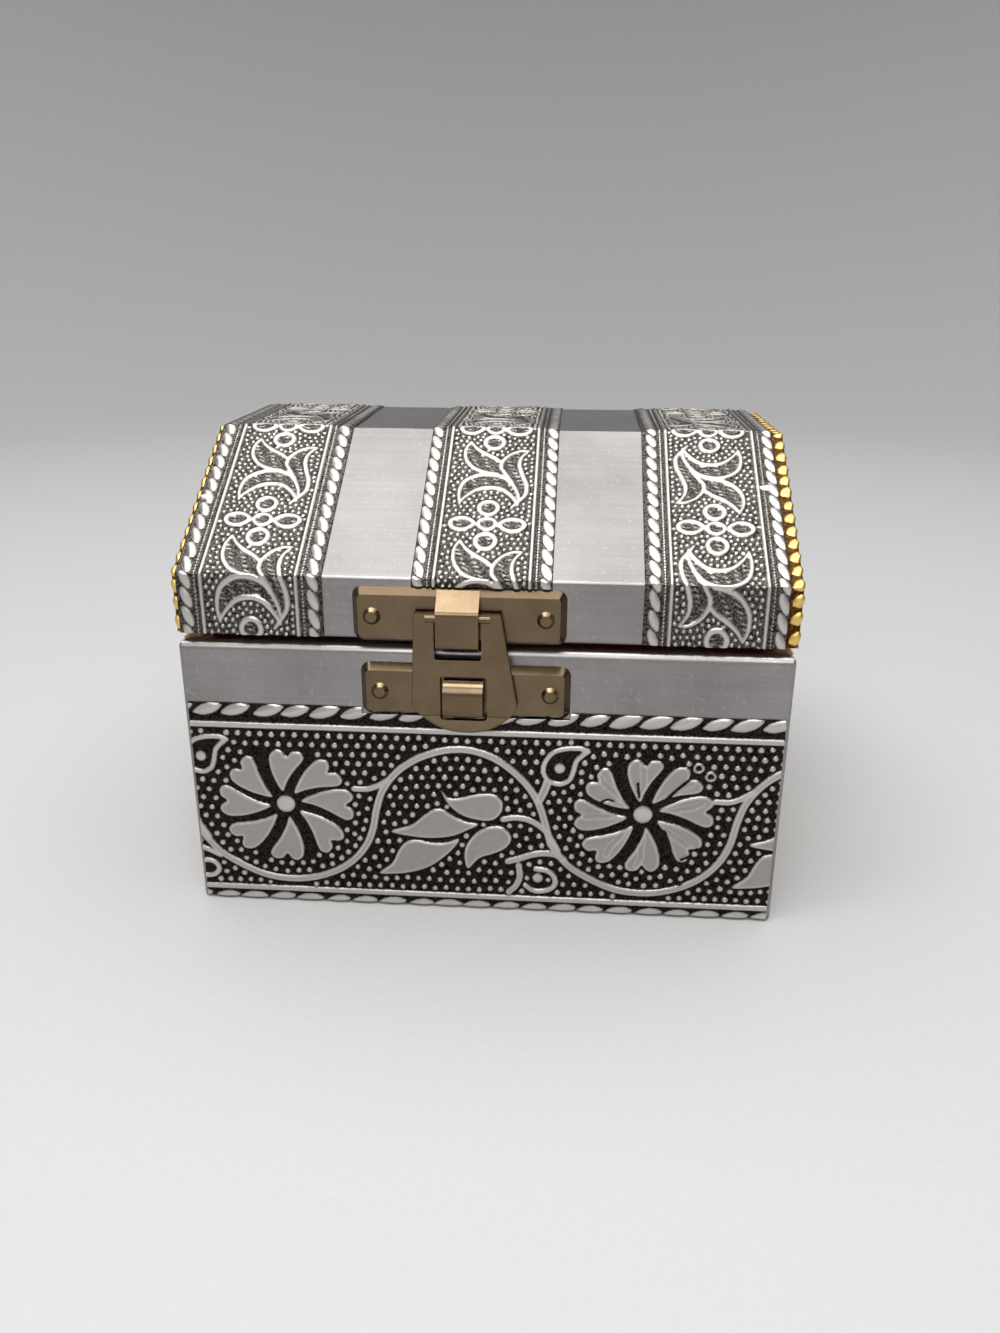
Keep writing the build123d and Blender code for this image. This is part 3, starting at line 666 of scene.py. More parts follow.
def grid_shell(name, face, back, keep=None, weld=False):
    """A closed sheet from two whole grids of points in mm. keep says which of its squares are there."""
    rows, cols = face.shape[:2]
    count = rows * cols
    quads = squares(np.arange(count).reshape(rows, cols))
    quads = quads.reshape(-1, 4) if keep is None else quads[keep]
    edges = np.concatenate([quads[:, [k, (k + 1) % 4]] for k in range(4)])
    rim = edges[~np.isin(edges[:, 0] * count + edges[:, 1], edges[:, 1] * count + edges[:, 0])]
    skirt = np.stack([rim[:, 1], rim[:, 0], rim[:, 0] + count, rim[:, 1] + count], 1)
    points = np.vstack([face.reshape(-1, 3), back.reshape(-1, 3)])
    return finish_shell(name, points, quads, [*(quads[:, ::-1] + count), *skirt], weld=weld)


# %% Even steps, and the place of a piece
def spread(*stops, step=STEP):
    """Numbers from stop to stop in even steps that land on each stop."""
    out = [np.array([stops[0]], float)]
    for a, b in zip(stops[:-1], stops[1:]):
        out.append(np.linspace(a, b, max(1, round(abs(b - a) / step)) + 1)[1:])
    return np.concatenate(out)


def travelled(line):
    """The distance along a line of points, from its start."""
    return np.concatenate([[0], np.cumsum(np.hypot(*np.diff(line, axis=0).T))])


def in_mm(node):
    """A CAD node's lowest and highest corner in millimetres."""
    lo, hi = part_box(node)
    return np.array(lo) / MM, np.array(hi) / MM


def fit(piece, body, slot, *stands_for):
    """The piece moves with a body, takes a finish slot and stands for CAD nodes."""
    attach(piece, body)
    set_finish(piece, slot)
    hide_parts(*stands_for)


# %% [markdown]
# The band on the front stops round the catch plate, which is nailed straight onto the plain sheet.
# Nobody sees the back in the photograph; it takes the same pattern, as it would from one long sheet.

# %% The front and back bands
PLATE_EASE = 0.06


def pressed_band(hand, side, notch=()):
    """A flat embossed band on the front (side -1) or the back (side 1)."""
    lo, hi = in_mm(f"body_{hand}_band")
    xs, zs = spread(lo[0], *notch[:2], hi[0]), spread(lo[2], *notch[2:], hi[2])
    hole = [int(np.argmin(abs(line - at))) for line, at in zip((xs, xs, zs), notch)]
    gx, gz = np.meshgrid(xs, zs)
    inner, outer = (hi[1], lo[1]) if side < 0 else (lo[1], hi[1])
    back, front = (grid_of(gx, y, gz) for y in (inner, outer))
    rise, raised = read_die(band_die, -side * gx, gz)
    band = shell(f"pressed_{hand}_band", raised_face(back, front, rise), back, raised, notch=hole)
    fit(band, "box", "silver_sheet", f"body_{hand}_band")


plate_lo, plate_hi = in_mm("catch_plate")
pressed_band("front", -1, (plate_lo[0] - PLATE_EASE, plate_hi[0] + PLATE_EASE, plate_lo[2] - PLATE_EASE))
pressed_band("back", 1)

# %% [markdown]
# Three narrower strips run over the lid from rim to rim. Theirs is a finer die: between two ropes, a
# flower of four loops and a spray of three outlined leaves with hatched insides, every 24 mm.
# The die is one repeat tall and is read round and round. The right-hand strip is laid the other way up.

# %% The strip's loops and leaves, as points in millimetres, and its die
STRIP_REPEAT, LINE_X, ROPE_X, ROPE_HALF, ROPE_TURNS, ROPE_SHEAR = 24.0, 7.75, 10.35, (0.94, 1.34), 8, 1.0
STRIP_LEAVES = [
    ([(-5, 17.4), (-5.3, 19.2), (-5.2, 21), (-4.5, 22.8), (-2.6, 24.2), (-0.3, 24.6), (2.1, 23.9),
      (3.6, 22.3), (4.6, 20.2), (5.0, 18.6)], (0.55, 0.9, 1.0, 0.6),
     [(-5, 17.6), (-3.9, 19.2), (-2.1, 20.8), (-0.1, 21.3), (1.9, 20.9), (3.4, 19.6), (4.5, 18),
      (4.9, 17.2)], (0.5, 0.95, 0.95, 0.55)),
    ([(-4.2, 33.0), (-5, 31), (-4.8, 28.4), (-3.2, 26.1), (-1, 25.1), (1, 24.7)], (0.5, 0.9, 0.8),
     [(-4.2, 33.0), (-3.2, 31.4), (-1.5, 29.9), (0.3, 28.8), (1.5, 27.6)], (0.5, 1.0, 0.8)),
    ([(6.2, 30.7), (4.8, 30.7), (3, 29.7), (1.8, 28.1), (1.5, 26.4), (2.3, 24.9), (3.6, 22.6)],
     (0.5, 0.8, 0.85),
     [(6.2, 30.7), (5, 29), (4.7, 27), (5.3, 24.6), (6.1, 22.1), (6.1, 19.7), (5, 17.9), (3.9, 16.5)],
     (0.5, 0.9, 0.9, 0.6))]
LOOPS = [((0, 12.6), (1.45, 1.2), 0.8), ((0, 16.3), (1.6, 1.55), 0.9), ((0, 8.85), (1.65, 1.6), 0.95),
         ((-4.2, 12.6), (2.0, 1.35), 0.9), ((4.2, 12.4), (2.1, 1.35), 0.9)]


def hatch(die, outline, period, lean):
    """Fine engraved strokes inside an outline, fainter than the outline itself."""
    part, gx, gz = window(die, outline, 0.2)
    held = within(gx, gz, outline)
    strokes = 0.5 + 0.5 * np.cos(2 * math.pi * (gz + lean * gx + 0.12 * np.sin(2.1 * gx)) / period)
    broken = 0.7 + 0.3 * np.sin(3.1 * gx + 1.3 * gz)
    lift(die, part, rise=0.46 * strokes * held, raised=0.62 * smooth(0.4, 0.9, strokes * broken) * held)
    keep_clear(die, part, held)


strip_die = blank_die(-12.8, 12.8, 0, STRIP_REPEAT)
for side in (-1, 1):
    for z in np.arange(-1, ROPE_TURNS + 2) * STRIP_REPEAT / ROPE_TURNS:
        rope_bead(strip_die, (side * ROPE_X, z), ROPE_HALF, ROPE_SHEAR)
    ribbon(strip_die, [(side * LINE_X, -2), (side * LINE_X, 26)], 0.6)
    for z in np.arange(0.3, STRIP_REPEAT, 0.6):
        dot(strip_die, (side * (LINE_X + 1.0), z), 0.2)
for shift in (-STRIP_REPEAT, 0, STRIP_REPEAT):
    for one, one_widths, other, other_widths in STRIP_LEAVES:
        stroke(strip_die, curve(one) + (0, shift), one_widths)
        stroke(strip_die, curve(other) + (0, shift), other_widths)
    for one, _, other, _ in STRIP_LEAVES:
        hatch(strip_die, np.array(one + other[::-1], float) + (0, shift), 0.82, 0.3)
    for middle, half, width in LOOPS:
        shape = oval(middle, half, 0.35 if middle[0] else 0.0) + (0, shift)
        ribbon(strip_die, shape, width, closed=True)
        hatch(strip_die, shape, 0.8, 0.1)
print("dots in one repeat of a strip:",
      fill_with_dots(strip_die, (-7.4, 7.4, 0, STRIP_REPEAT), 1.16, 0.34, seed=5, keep_off=0.24,
                     wrap=STRIP_REPEAT))

# %% [markdown]
# The sheets over the lid are bent by hand, so their folds are round, which is what draws a bright line
# along each. All of them follow one cross-section: a low wall, a slope, the crown, and down again.

# %% Folded lines
FOLD_R, RIM_R, SHEET_T = 0.7, 1.5, 0.5
SHEET_LO, SHEET_HI = in_mm("lid_plain_sheet")
LID_LOW, SHOULDER_Z, CROWN_HALF = SHEET_LO[2], 61.2, 15.5
SLOPE = math.atan2(SHEET_HI[2] - SHOULDER_Z, SHEET_HI[1] - CROWN_HALF)


def dome_at(shift, low):
    """The lid's cross-section, moved out from the plain sheet's face by shift, with its rims at low.
    Five straight runs, from the front rim over the top to the back rim."""
    y, crown_y = SHEET_HI[1] + shift, CROWN_HALF + shift * math.tan(SLOPE / 2)
    shoulder, crown = SHOULDER_Z + shift * math.tan(math.pi / 4 - SLOPE / 2), SHEET_HI[2] + shift
    return np.array([(-y, low), (-y, shoulder), (-crown_y, crown),
                     (crown_y, crown), (y, shoulder), (y, low)])


def bent(line, thick, radius, step=0.5, arc=6):
    """Rows over a folded sheet, with each corner of its outer line bent round: the outer and inner
    points, and the numbers of the rows in the bends."""
    line = np.asarray(line, float)
    runs = np.diff(line, axis=0)
    lengths = np.hypot(*runs.T)
    ways = runs / lengths[:, None]
    outward = np.stack([-ways[:, 1], ways[:, 0]], 1)
    cut = [radius * math.tan(math.acos(np.clip(a @ b, -1, 1)) / 2) for a, b in zip(ways[:-1], ways[1:])]
    outer, inner, folds = [], [], []
    for k, (start, way, out, length) in enumerate(zip(line, ways, outward, lengths)):
        low, high = cut[k - 1] if k else 0, length - (cut[k] if k < len(cut) else 0)
        spots = start + way * spread(low, high, step=step)[:, None]
        outer.append(spots)
        inner.append(spots - out * thick)
        if k < len(cut):
            middle, last = spots[-1] - out * radius, sum(len(part) for part in outer) - 1
            folds += range(last, last + arc + 1)
            for t in np.arange(1, arc) / arc:
                turn = outward[k] * (1 - t) + outward[k + 1] * t
                turn /= np.hypot(*turn)
                outer.append(middle + turn[None] * radius)
                inner.append(middle + turn[None] * (radius - thick))
    return np.vstack(outer), np.vstack(inner), folds


def on_line(line, shares):
    """Points on a line: 2.5 is halfway along its third run."""
    return np.stack([np.interp(shares, range(len(line)), line[:, k]) for k in (0, 1)], 1)


def across_lid(gx, line):
    """A grid of points: x from the grid, and y and z from the row's point on a cross-section."""
    return grid_of(gx, line[:, :1], line[:, 1:])


print("slope of the lid", round(math.degrees(SLOPE), 1), "degrees")

# %% [markdown]
# Each strip was cut and laid by hand, so its pattern has its own middle and width. The centre one stops
# above the hasp plate, and two of them carry a drop of solder.

# %% The strips, folded over the lid
FIRST_FLOWER, WALL_STRETCH, DROP_HALF = 12.6, 26 / 24, (1.25, 0.75)
STRIP_T = in_mm("lid_strip_left")[1][1] - SHEET_HI[1]
STRIPS = [("left", LID_LOW, -38.1, 1.02, (-49.1, 17.9)),
          ("centre", in_mm("hasp_plate")[1][2] + PLATE_EASE, 0.0, 1.0, None),
          ("right", LID_LOW, 37.83, 0.98, (46.9, 22.6))]

for hand, start, middle, width, solder in STRIPS:
    lo, hi = in_mm(f"lid_strip_{hand}")
    line = dome_at(STRIP_T, LID_LOW)
    line[0, 1] = start
    over, under, folds = bent(line, STRIP_T, FOLD_R - 0.1, STEP)
    gx, gs = np.meshgrid(spread(lo[0], hi[0]), travelled(over) - (line[1, 1] - start))
    pattern = np.where(gs < FIRST_FLOWER, FIRST_FLOWER + (gs - FIRST_FLOWER) / WALL_STRETCH, gs)
    u = (gx - middle) / width
    if hand == "right":
        u, pattern = -u, 2 * FIRST_FLOWER - pattern
    rise, raised = read_die(strip_die, u, np.mod(pattern, STRIP_REPEAT))
    if solder:
        far = ((gx - solder[0]) / DROP_HALF[0]) ** 2 + ((gs - solder[1]) / DROP_HALF[1]) ** 2
        drop = np.sqrt(np.clip(1 - far, 0, 1))
        rise, raised = np.maximum(rise, drop), np.maximum(raised, smooth(0.1, 0.5, drop))
    back = across_lid(gx, under)
    face = raised_face(back, across_lid(gx, over), rise)
    strip = shell(f"pressed_strip_{hand}", face, back, raised, folds)
    fit(strip, "lid", "silver_sheet", f"lid_strip_{hand}")

# %% [markdown]
# The plain sheets under the pressed ones are never quite flat, which is what makes a reflection swim.
# Their hollows are a sixth of a millimetre deep, all of them inward, and fade out at a wrapped corner.

# %% The plain sheet under the strips
DENT_DEPTH = 0.16


def wander(u, v, size, seed, low=7, high=26):
    """A slow, even waviness, from a few sine waves with seeded phases."""
    random = np.random.default_rng(seed)
    total = np.zeros(np.broadcast(u, v).shape)
    for _ in range(7):
        angle, phase = random.uniform(0, math.pi), random.uniform(0, 2 * math.pi)
        pitch = random.uniform(low, high)
        total += np.sin(2 * math.pi * (u * math.cos(angle) + v * math.sin(angle)) / pitch + phase)
    return size * total / 7


def dented(outer, inner, far_u, far_v, seed, depth=DENT_DEPTH):
    """The outer face with soft hollows, all of them inward."""
    sink = np.clip(0.5 + wander(far_u, far_v, 1.6, seed, 9, 45), 0, 1) * depth
    return outer + (inner - outer) * sink[..., None]


over, under, _ = bent(dome_at(0, LID_LOW), SHEET_T, FOLD_R)
gx, far = np.meshgrid(spread(SHEET_LO[0], SHEET_HI[0], step=0.55), travelled(over))
inner = across_lid(gx, under)
lid_sheet = grid_shell("plain_lid_sheet", dented(across_lid(gx, over), inner, gx, far, 41), inner)
fit(lid_sheet, "lid", "silver_sheet", "lid_plain_sheet")

# %% The body's front and back sheets, round the corners and over the walls
GILT_LO, GILT_HI = in_mm("body_right_end_sheet")


def plain_wall(hand, side, seed):
    """A plain sheet: up the wall, over its top edge, and a little way round both corners."""
    lo, hi = in_mm(f"body_{hand}_sheet")
    lip, reach = sorted((abs(lo[1]), abs(hi[1])))
    corner_y = -GILT_HI[1]
    plan = bent([(hi[0], corner_y), (hi[0], -reach), (lo[0], -reach), (lo[0], corner_y)], SHEET_T, FOLD_R)
    rise = bent([(-reach, lo[2]), (-reach, hi[2]), (-lip, hi[2])], SHEET_T, RIM_R)

    def grid(plan, rise):
        inset = reach + rise[:, :1]
        return grid_of(np.clip(plan[:, 0], lo[0] + inset, hi[0] - inset),
                       np.maximum(plan[:, 1], inset - reach), rise[:, 1:])

    face, back = grid(plan[0], rise[0]), grid(plan[1], rise[1])
    beside_gilt = rise[0][:-1, 0] > corner_y - 1e-6
    outside = np.abs(face[:-1, :-1, 0] + face[:-1, 1:, 0]) / 2 > GILT_LO[0]
    u, v = np.meshgrid(*(np.arange(len(line[0])) * 0.5 for line in (plan, rise)))
    from_corner, from_top = hi[0] - np.abs(face[..., 0]), hi[2] - RIM_R - face[..., 2]
    soft = np.clip(from_corner / 4, 0, 1) * np.clip(from_top / 2, 0, 1)
    face = dented(face, back, u, v, seed, DENT_DEPTH * soft)
    wall = grid_shell(f"plain_{hand}_sheet", face * (1, -side, 1), back * (1, -side, 1),
                      ~(beside_gilt[:, None] & outside), weld=True)
    fit(wall, "box", "silver_sheet", f"body_{hand}_sheet")


plain_wall("front", -1, 42)
plain_wall("back", 1, 43)

# %% [markdown]
# The two ends are clad in a sheet of a warmer, gilt colour. The photograph shows only its rolled edge,
# so its drawing is made up from the same family: a rosette between sprays, inside a rope.

# %% The dies of the body's and the lid's ends
GILT_ROPE, ROPE_IN, LINE_IN, TOP_ROOM, GILT_PITCH = (1.5, 0.85), 2.2, 4.2, 1, 3.0
END_LOW, END_HIGH, END_HALF = GILT_LO[2], GILT_HI[2], GILT_HI[1]


def frame_at(inset):
    """A rectangle inside a body end, a little lower at the top, where the lid's shadow falls."""
    y, low, high = END_HALF - inset, END_LOW + inset, END_HIGH - inset - TOP_ROOM
    return np.array([(-y, low), (y, low), (y, high), (-y, high)])


def spray(die, middle, scale, turn, mirrored):
    """The front's four leaves and their stem, moved, turned and scaled to another place."""
    def place(points):
        return moved((points - np.array((-3, 16))) * (-1 if mirrored else 1, 1), middle, turn, scale)

    for outline in LEAVES:
        leaf(die, place(outline))
    ribbon(die, place(curve(LEAF_STEM)), 1.1)
    ribbon(die, place(oval((13.2, 9.6), (2.6, 2.6))), 0.9, closed=True)
    dot(die, place(np.array([(13.2, 9.6)]))[0], 1.1)


def rosette(die, middle, scale, ring):
    """A ringed flower for the middle of a gilt end."""
    for k in range(8):
        leaf(die, moved(PETAL, middle, -45 * k, scale))
    boss(die, middle, 1.7)
    ribbon(die, oval(middle, (ring, ring)), 1.1, closed=True)


end_die = blank_die(-44, 44, 0, 50)
rope_line = frame_at(ROPE_IN)
for k, (a, b) in enumerate(zip(rope_line, np.roll(rope_line, -1, 0))):
    count = max(1, round(math.dist(a, b) / GILT_PITCH))
    for t in (np.arange(count) + 0.5) / count:
        bead(end_die, a + (b - a) * t, GILT_ROPE, 90 * k + 24)
line_in = frame_at(LINE_IN)
ribbon(end_die, line_in, 0.8, closed=True)
end_middle = (0, line_in[:, 1].mean())
rosette(end_die, end_middle, 1.15, 15.0)
for flip in (-1, 1):
    for half in (1, -1):
        turn = flip * 20 if half > 0 else 180 - flip * 20
        spray(end_die, (flip * 24.6, end_middle[1] + half * 8.9), 0.52, turn, mirrored=flip * half > 0)
area = (line_in[0, 0] + 0.4, line_in[1, 0] - 0.4, line_in[0, 1] + 0.4, line_in[2, 1] - 0.4)
end_dots = fill_with_dots(end_die, area, 1.9, 0.52, seed=21)

lid_end_die = blank_die(-47, 47, 50.8, 81.2)
ribbon(lid_end_die, dome_at(-2.6, LID_LOW + 1.6), 0.8, closed=True)
rosette(lid_end_die, (0, 65.6), 0.78, 10.4)
for flip in (-1, 1):
    spray(lid_end_die, (flip * 22.5, 63.4), 0.62, flip * 14, mirrored=flip > 0)
inside_dome = within(*np.meshgrid(lid_end_die["x"], lid_end_die["z"]), dome_at(-3.0, LID_LOW + 2.0))
lid_end_die["gap"] = np.where(inside_dome, lid_end_die["gap"], 0)
lid_end_dots = fill_with_dots(lid_end_die, (-43, 43, LID_LOW + 2.2, 78), 1.7, 0.46, seed=22)
print("dots on an end:", end_dots, "and on the lid's end:", lid_end_dots)

# %% The body's ends: a face, a fold at the top and a lip over the wall
END_STEP = 0.22


def pressed_end(hand, side):
    """A gilt end of the body. Rows run up the face, round the fold and in over the wall."""
    reach, lip = GILT_HI[0], in_mm("body_right_end_board")[0][0]
    rows = spread(END_LOW, END_HIGH - FOLD_R, step=END_STEP)
    turn = np.linspace(0, math.pi / 2, 7)[1:, None]
    flat = spread(reach - FOLD_R, lip, step=1.0)[1:]

    def profile(thick):
        middle, around = (reach - FOLD_R, END_HIGH - FOLD_R), np.hstack([np.cos(turn), np.sin(turn)])
        bend = middle + (FOLD_R - thick) * around
        return np.vstack([np.stack([np.full(len(rows), reach - thick), rows], 1), bend,
                          np.stack([flat, np.full(len(flat), END_HIGH - thick)], 1)])

    outer, inner = profile(0), profile(SHEET_T)
    gy, gz = np.meshgrid(spread(-END_HALF, END_HALF, step=END_STEP), outer[:, 1])
    past_face = np.arange(len(outer))[:, None] >= len(rows)
    rise, raised = (np.where(past_face, 1.0, table) for table in read_die(end_die, gy * side, gz))

    front, back = (grid_of(side * line[:, :1], gy, line[:, 1:]) for line in (outer, inner))
    folds = range(len(rows) - 1, len(rows) + len(turn))
    end = shell(f"pressed_{hand}_end", raised_face(back, front, rise), back, raised, folds)
    fit(end, "box", "gilt_sheet", f"body_{hand}_end_sheet")


pressed_end("left", -1)
pressed_end("right", 1)

# %% [markdown]
# The lid's ends turn over the edge of the dome, and rope beads lie across that turn. They are what the
# photograph shows of the gilt: a row of squashed golden beads down the right side of the lid.

# %% The lid's ends: a dome-shaped face, turned over its edge
EDGE_R, SIDE_ROWS = 0.9, 131
edge_die = blank_die(0, 130, 0, 4)
print("beads over a lid end:", rope_row(edge_die, 1.95, GILT_PITCH, (1.7, 1.1), 62, seed=23))


def under_dome(line, step):
    """Columns that fill a dome-shaped face: their places and their top ends."""
    ys = spread(line[0, 0], line[2, 0], line[3, 0], line[5, 0], step=step)
    return ys, np.interp(ys, line[1:5, 0], line[1:5, 1])


# %% A lid end
def pressed_lid_end(hand, side):
    """A gilt end of the lid: upright columns fill the flat face, and rings turn over its edge and run
    in under the strips. Each ring has a point for each one on the face's own edge."""
    (rim, *_), (reach, *_) = in_mm("lid_right_end_sheet")
    flat_line, sheet_line, under_line = (dome_at(-inset, LID_LOW) for inset in (EDGE_R, 0, SHEET_T))
    up_t = np.linspace(0, 1, SIDE_ROWS)
    ys, tops = under_dome(flat_line, 0.21)
    gy = np.broadcast_to(ys, (len(up_t), len(ys)))
    gz = LID_LOW + up_t[:, None] * (tops - LID_LOW)
    rise, raised = read_die(lid_end_die, gy * side, gz)
    face_back = grid_of(reach - SHEET_T, gy, gz)
    number = np.arange(gy.size).reshape(gy.shape)
    loop = np.concatenate([number[:, 0], number[-1, 1:-1], number[::-1, -1]])

    over_top = np.interp(ys[1:-1], flat_line[1:5, 0], range(1, 5))
    shares = np.concatenate([up_t, over_top, 5 - up_t[::-1]])
    flat_loop, sheet_loop, under_loop = (on_line(line, shares) for line in (flat_line, sheet_line, under_line))
    far = travelled(sheet_loop)
    flange = reach - EDGE_R - rim
    stations = [(a, 0.0) for a in np.linspace(0, math.pi / 2, 9)]
    stations += [(math.pi / 2, run) for run in spread(0, flange)[1:]]

    def ring(station, line, thick):
        """The loop at one turn of the edge and one distance along the flange."""
        turn, run = station
        spot = flat_loop + (line - flat_loop) * math.sin(turn)
        x = reach - EDGE_R - run + (EDGE_R - thick) * math.cos(turn)
        return grid_of(x, *spot.T)

    points = [raised_face(face_back, face_back + (SHEET_T, 0, 0), rise).reshape(-1, 3)]
    masks, back_stations = [raised.ravel()], [*stations[:9:4], stations[-1]]
    for station in stations[1:]:
        depth = np.full(len(loop), flange - station[1] + EDGE_R * (math.pi / 2 - station[0]))
        rise, raised = read_die(edge_die, far, depth)
        points.append(raised_face(ring(station, under_loop, SHEET_T), ring(station, sheet_loop, 0), rise))
        masks.append(raised)
    points += [ring(station, under_loop, SHEET_T) for station in back_stations]
    layers = gy.size + np.arange((len(points) - 1) * len(loop)).reshape(-1, len(loop))
    rings, backs = [loop, *layers[:-len(back_stations)]], layers[-len(back_stations):]

    def joined(one, two):
        return np.stack([one[:-1], two[:-1], two[1:], one[1:]], -1)

    quads = [squares(number).reshape(-1, 4), *(joined(one, two) for one, two in zip(rings[:-1], rings[1:]))]
    inside = [*zip(backs[:-1], backs[1:]), (rings[-1], backs[-1])]
    others = [quad for one, two in inside for quad in joined(one, two)]
    others.append(list(backs[0][::-1]))
    others.append([*number[0], backs[0][-1], backs[0][0]])
    others.append([*[b[0] for b in backs][::-1], *[r[0] for r in rings]])
    others.append([*[r[-1] for r in rings], *[b[-1] for b in backs][::-1]])
    points = np.vstack(points) * (side, 1, 1)
    end = finish_shell(f"pressed_{hand}_lid_end", points, np.vstack(quads), others, np.concatenate(masks))
    fit(end, "lid", "gilt_sheet", f"lid_{hand}_end_sheet")


pressed_lid_end("left", -1)
pressed_lid_end("right", 1)

# %% [markdown]
# Inside, the box is lined with wine-red velvet: a cushioned floor, a band round the walls and a lining
# under the dome. Cloth has no sharp corners, so these pieces are grids whose rims roll over and whose
# faces wander by a fraction of a millimetre. The felt under the foot is a plain cut sheet.

# %% The cushioned floor
PAD_CLEAR, PAD_CROWN, PAD_EDGE, PAD_ROLL, LINING_T, WEAVE_STEP = 0.1, 0.7, 0.5, 2.2, 1.0, 0.9


def rolled(value, lo, hi, roll):
    """1 inside, falling like a quarter round to 0 at both ends."""
    t = np.clip(np.minimum(value - lo, hi - value) / roll, 0, 1)
    return np.sqrt(1 - (1 - t) ** 2)


def lived_in(u, v, seed):
    """A share of the lining's thickness, a little less here and there."""
    return 1 - 0.16 * (0.5 + wander(u, v, 1.0, seed))


pad_lo, pad_hi = in_mm("body_floor_pad")
xs, ys = (spread(pad_lo[k] + PAD_CLEAR, pad_hi[k] - PAD_CLEAR, step=0.8) for k in (0, 1))
gx, gy = np.meshgrid(xs, ys)
edge = rolled(gx, xs[0], xs[-1], PAD_ROLL) * rolled(gy, ys[0], ys[-1], PAD_ROLL)
crown = (1 - (gx / pad_hi[0]) ** 4) * (1 - (gy / pad_hi[1]) ** 4)
height = (PAD_EDGE + (pad_hi[2] - pad_lo[2] - PAD_EDGE - PAD_CLEAR) * edge
          + (PAD_CROWN + wander(gx, gy, 0.3, 31)) * crown)
pad = shell("velvet_floor", grid_of(gx, gy, pad_lo[2] + height), grid_of(gx, gy, pad_lo[2]))
fit(pad, "box", "velvet", "body_floor_pad")
print("floor pad, highest point", round(float(height.max()) + pad_lo[2], 2), "mm")


# %% The band round the walls
def smoothed(points, reach=2):
    """Rounds a run of points by averaging each with its neighbours, with the two ends kept."""
    longer = np.concatenate([np.repeat(points[:1], reach, 0), points, np.repeat(points[-1:], reach, 0)])
    kernel = np.hanning(2 * reach + 3)[1:-1]
    out = np.stack([np.convolve(line, kernel / kernel.sum(), "valid") for line in longer.T], 1)
    out[0], out[-1] = points[0], points[-1]
    return out


def divided(line, counts):
    """Points along a line of straight runs, so many to each run."""
    shares = np.concatenate([[0], *(k + np.linspace(0, 1, count + 1)[1:] for k, count in enumerate(counts))])
    return on_line(line, shares)


wall_lo, wall_hi = in_mm("body_wall_lining")
unit_ring = divided(np.array([(-1, 1), (1, 1), (1, -1), (-1, -1), (-1, 1)]), (100, 90, 100, 90))
rim_z = wall_hi[2] - 1.2
zs = np.concatenate([spread(wall_lo[2], rim_z, step=WEAVE_STEP)[:-1], np.linspace(rim_z, wall_hi[2], 8)])
full = 0.25 + 0.75 * np.sqrt(1 - np.clip(zs[None] - wall_hi[2] + 1, 0, 1) ** 2)
full = full * lived_in(np.arange(len(unit_ring))[:, None] * 0.93, zs[None], 32)


def upright(ring):
    """A ring of points, repeated at each height."""
    return grid_of(ring[:, :1], ring[:, 1:], zs)


back, front = upright(unit_ring * wall_hi[:2]), upright(smoothed(unit_ring * (wall_hi[:2] - LINING_T)))
wall_velvet = shell("velvet_walls", back + (front - back) * full[..., None], back, folds=[100, 190, 290])
fit(wall_velvet, "box", "velvet", "body_wall_lining")

# %% Under the dome and on the lid's ends
BOARD_IN, LINING_ROLL = 4.5, 1.2
dome_lo, dome_hi = in_mm("lid_dome_lining")
low = dome_lo[2]
board_line, face_line = dome_at(-BOARD_IN, low), dome_at(-BOARD_IN - LINING_T, low)
counts = [max(1, round(math.dist(*run) / WEAVE_STEP)) for run in zip(face_line, face_line[1:])]
on_board, on_face = (divided(line, counts) for line in (board_line, face_line))
gx, far = np.meshgrid(spread(dome_lo[0], dome_hi[0], step=WEAVE_STEP), travelled(on_face))
back, front = across_lid(gx, on_board), across_lid(gx, smoothed(on_face))
full = (0.3 + 0.7 * rolled(far, 0, far[-1, 0], LINING_ROLL)) * lived_in(gx, far, 33)
dome_velvet = shell("velvet_dome", back + (front - back) * full[..., None], back,
                    folds=[int(k) for k in np.cumsum(counts)[:-1]])
fit(dome_velvet, "lid", "velvet", "lid_dome_lining")

panel_reach = in_mm("lid_right_end_lining")[1][0]
ys, tops = under_dome(board_line, WEAVE_STEP)
up_t = np.concatenate([[0, 0.01, 0.025, 0.05], np.linspace(0.08, 1, 28)])
gy = np.broadcast_to(ys, (len(up_t), len(ys)))
gz = low + up_t[:, None] * (tops - low)
full = (0.35 + 0.65 * rolled(gz, low, 999, LINING_ROLL)) * lived_in(gy, gz, 34)
for side, hand in ((-1, "left"), (1, "right")):
    panel = shell(f"velvet_{hand}_lid_end", grid_of(side * (panel_reach - LINING_T * full), gy, gz),
                  grid_of(side * panel_reach, gy, gz))
    fit(panel, "lid", "velvet", f"lid_{hand}_end_lining")

# %% The felt under the foot
FELT_ROLL, FELT_THIN = 1.5, 0.06
felt_lo, felt_hi = in_mm("base_felt")
xs, ys = (spread(felt_lo[k], felt_hi[k], step=1.5) for k in (0, 1))
gx, gy = np.meshgrid(xs, ys)
thin = FELT_THIN * (1 - rolled(gx, xs[0], xs[-1], FELT_ROLL) * rolled(gy, ys[0], ys[-1], FELT_ROLL))
felt_foot = shell("felt_foot", grid_of(gx, gy, felt_lo[2] + thin), grid_of(gx, gy, felt_hi[2]))
fit(felt_foot, "box", "felt", "base_felt")

# %% [markdown]
# Finishes. Four effects turn up in several materials, so each is a group with its own inputs: cloudy
# patches from handling, fine drawn lines, knocks and scratches, and the punched grain of the ground.
# A group gives only numbers; every shader stays in its own material.

# %% Shared effects as node groups
SCRATCH_WAYS, SCRATCH_LONG = ((0.5, 0.0), (-0.9, 3.1), (1.35, 7.7)), 14.0


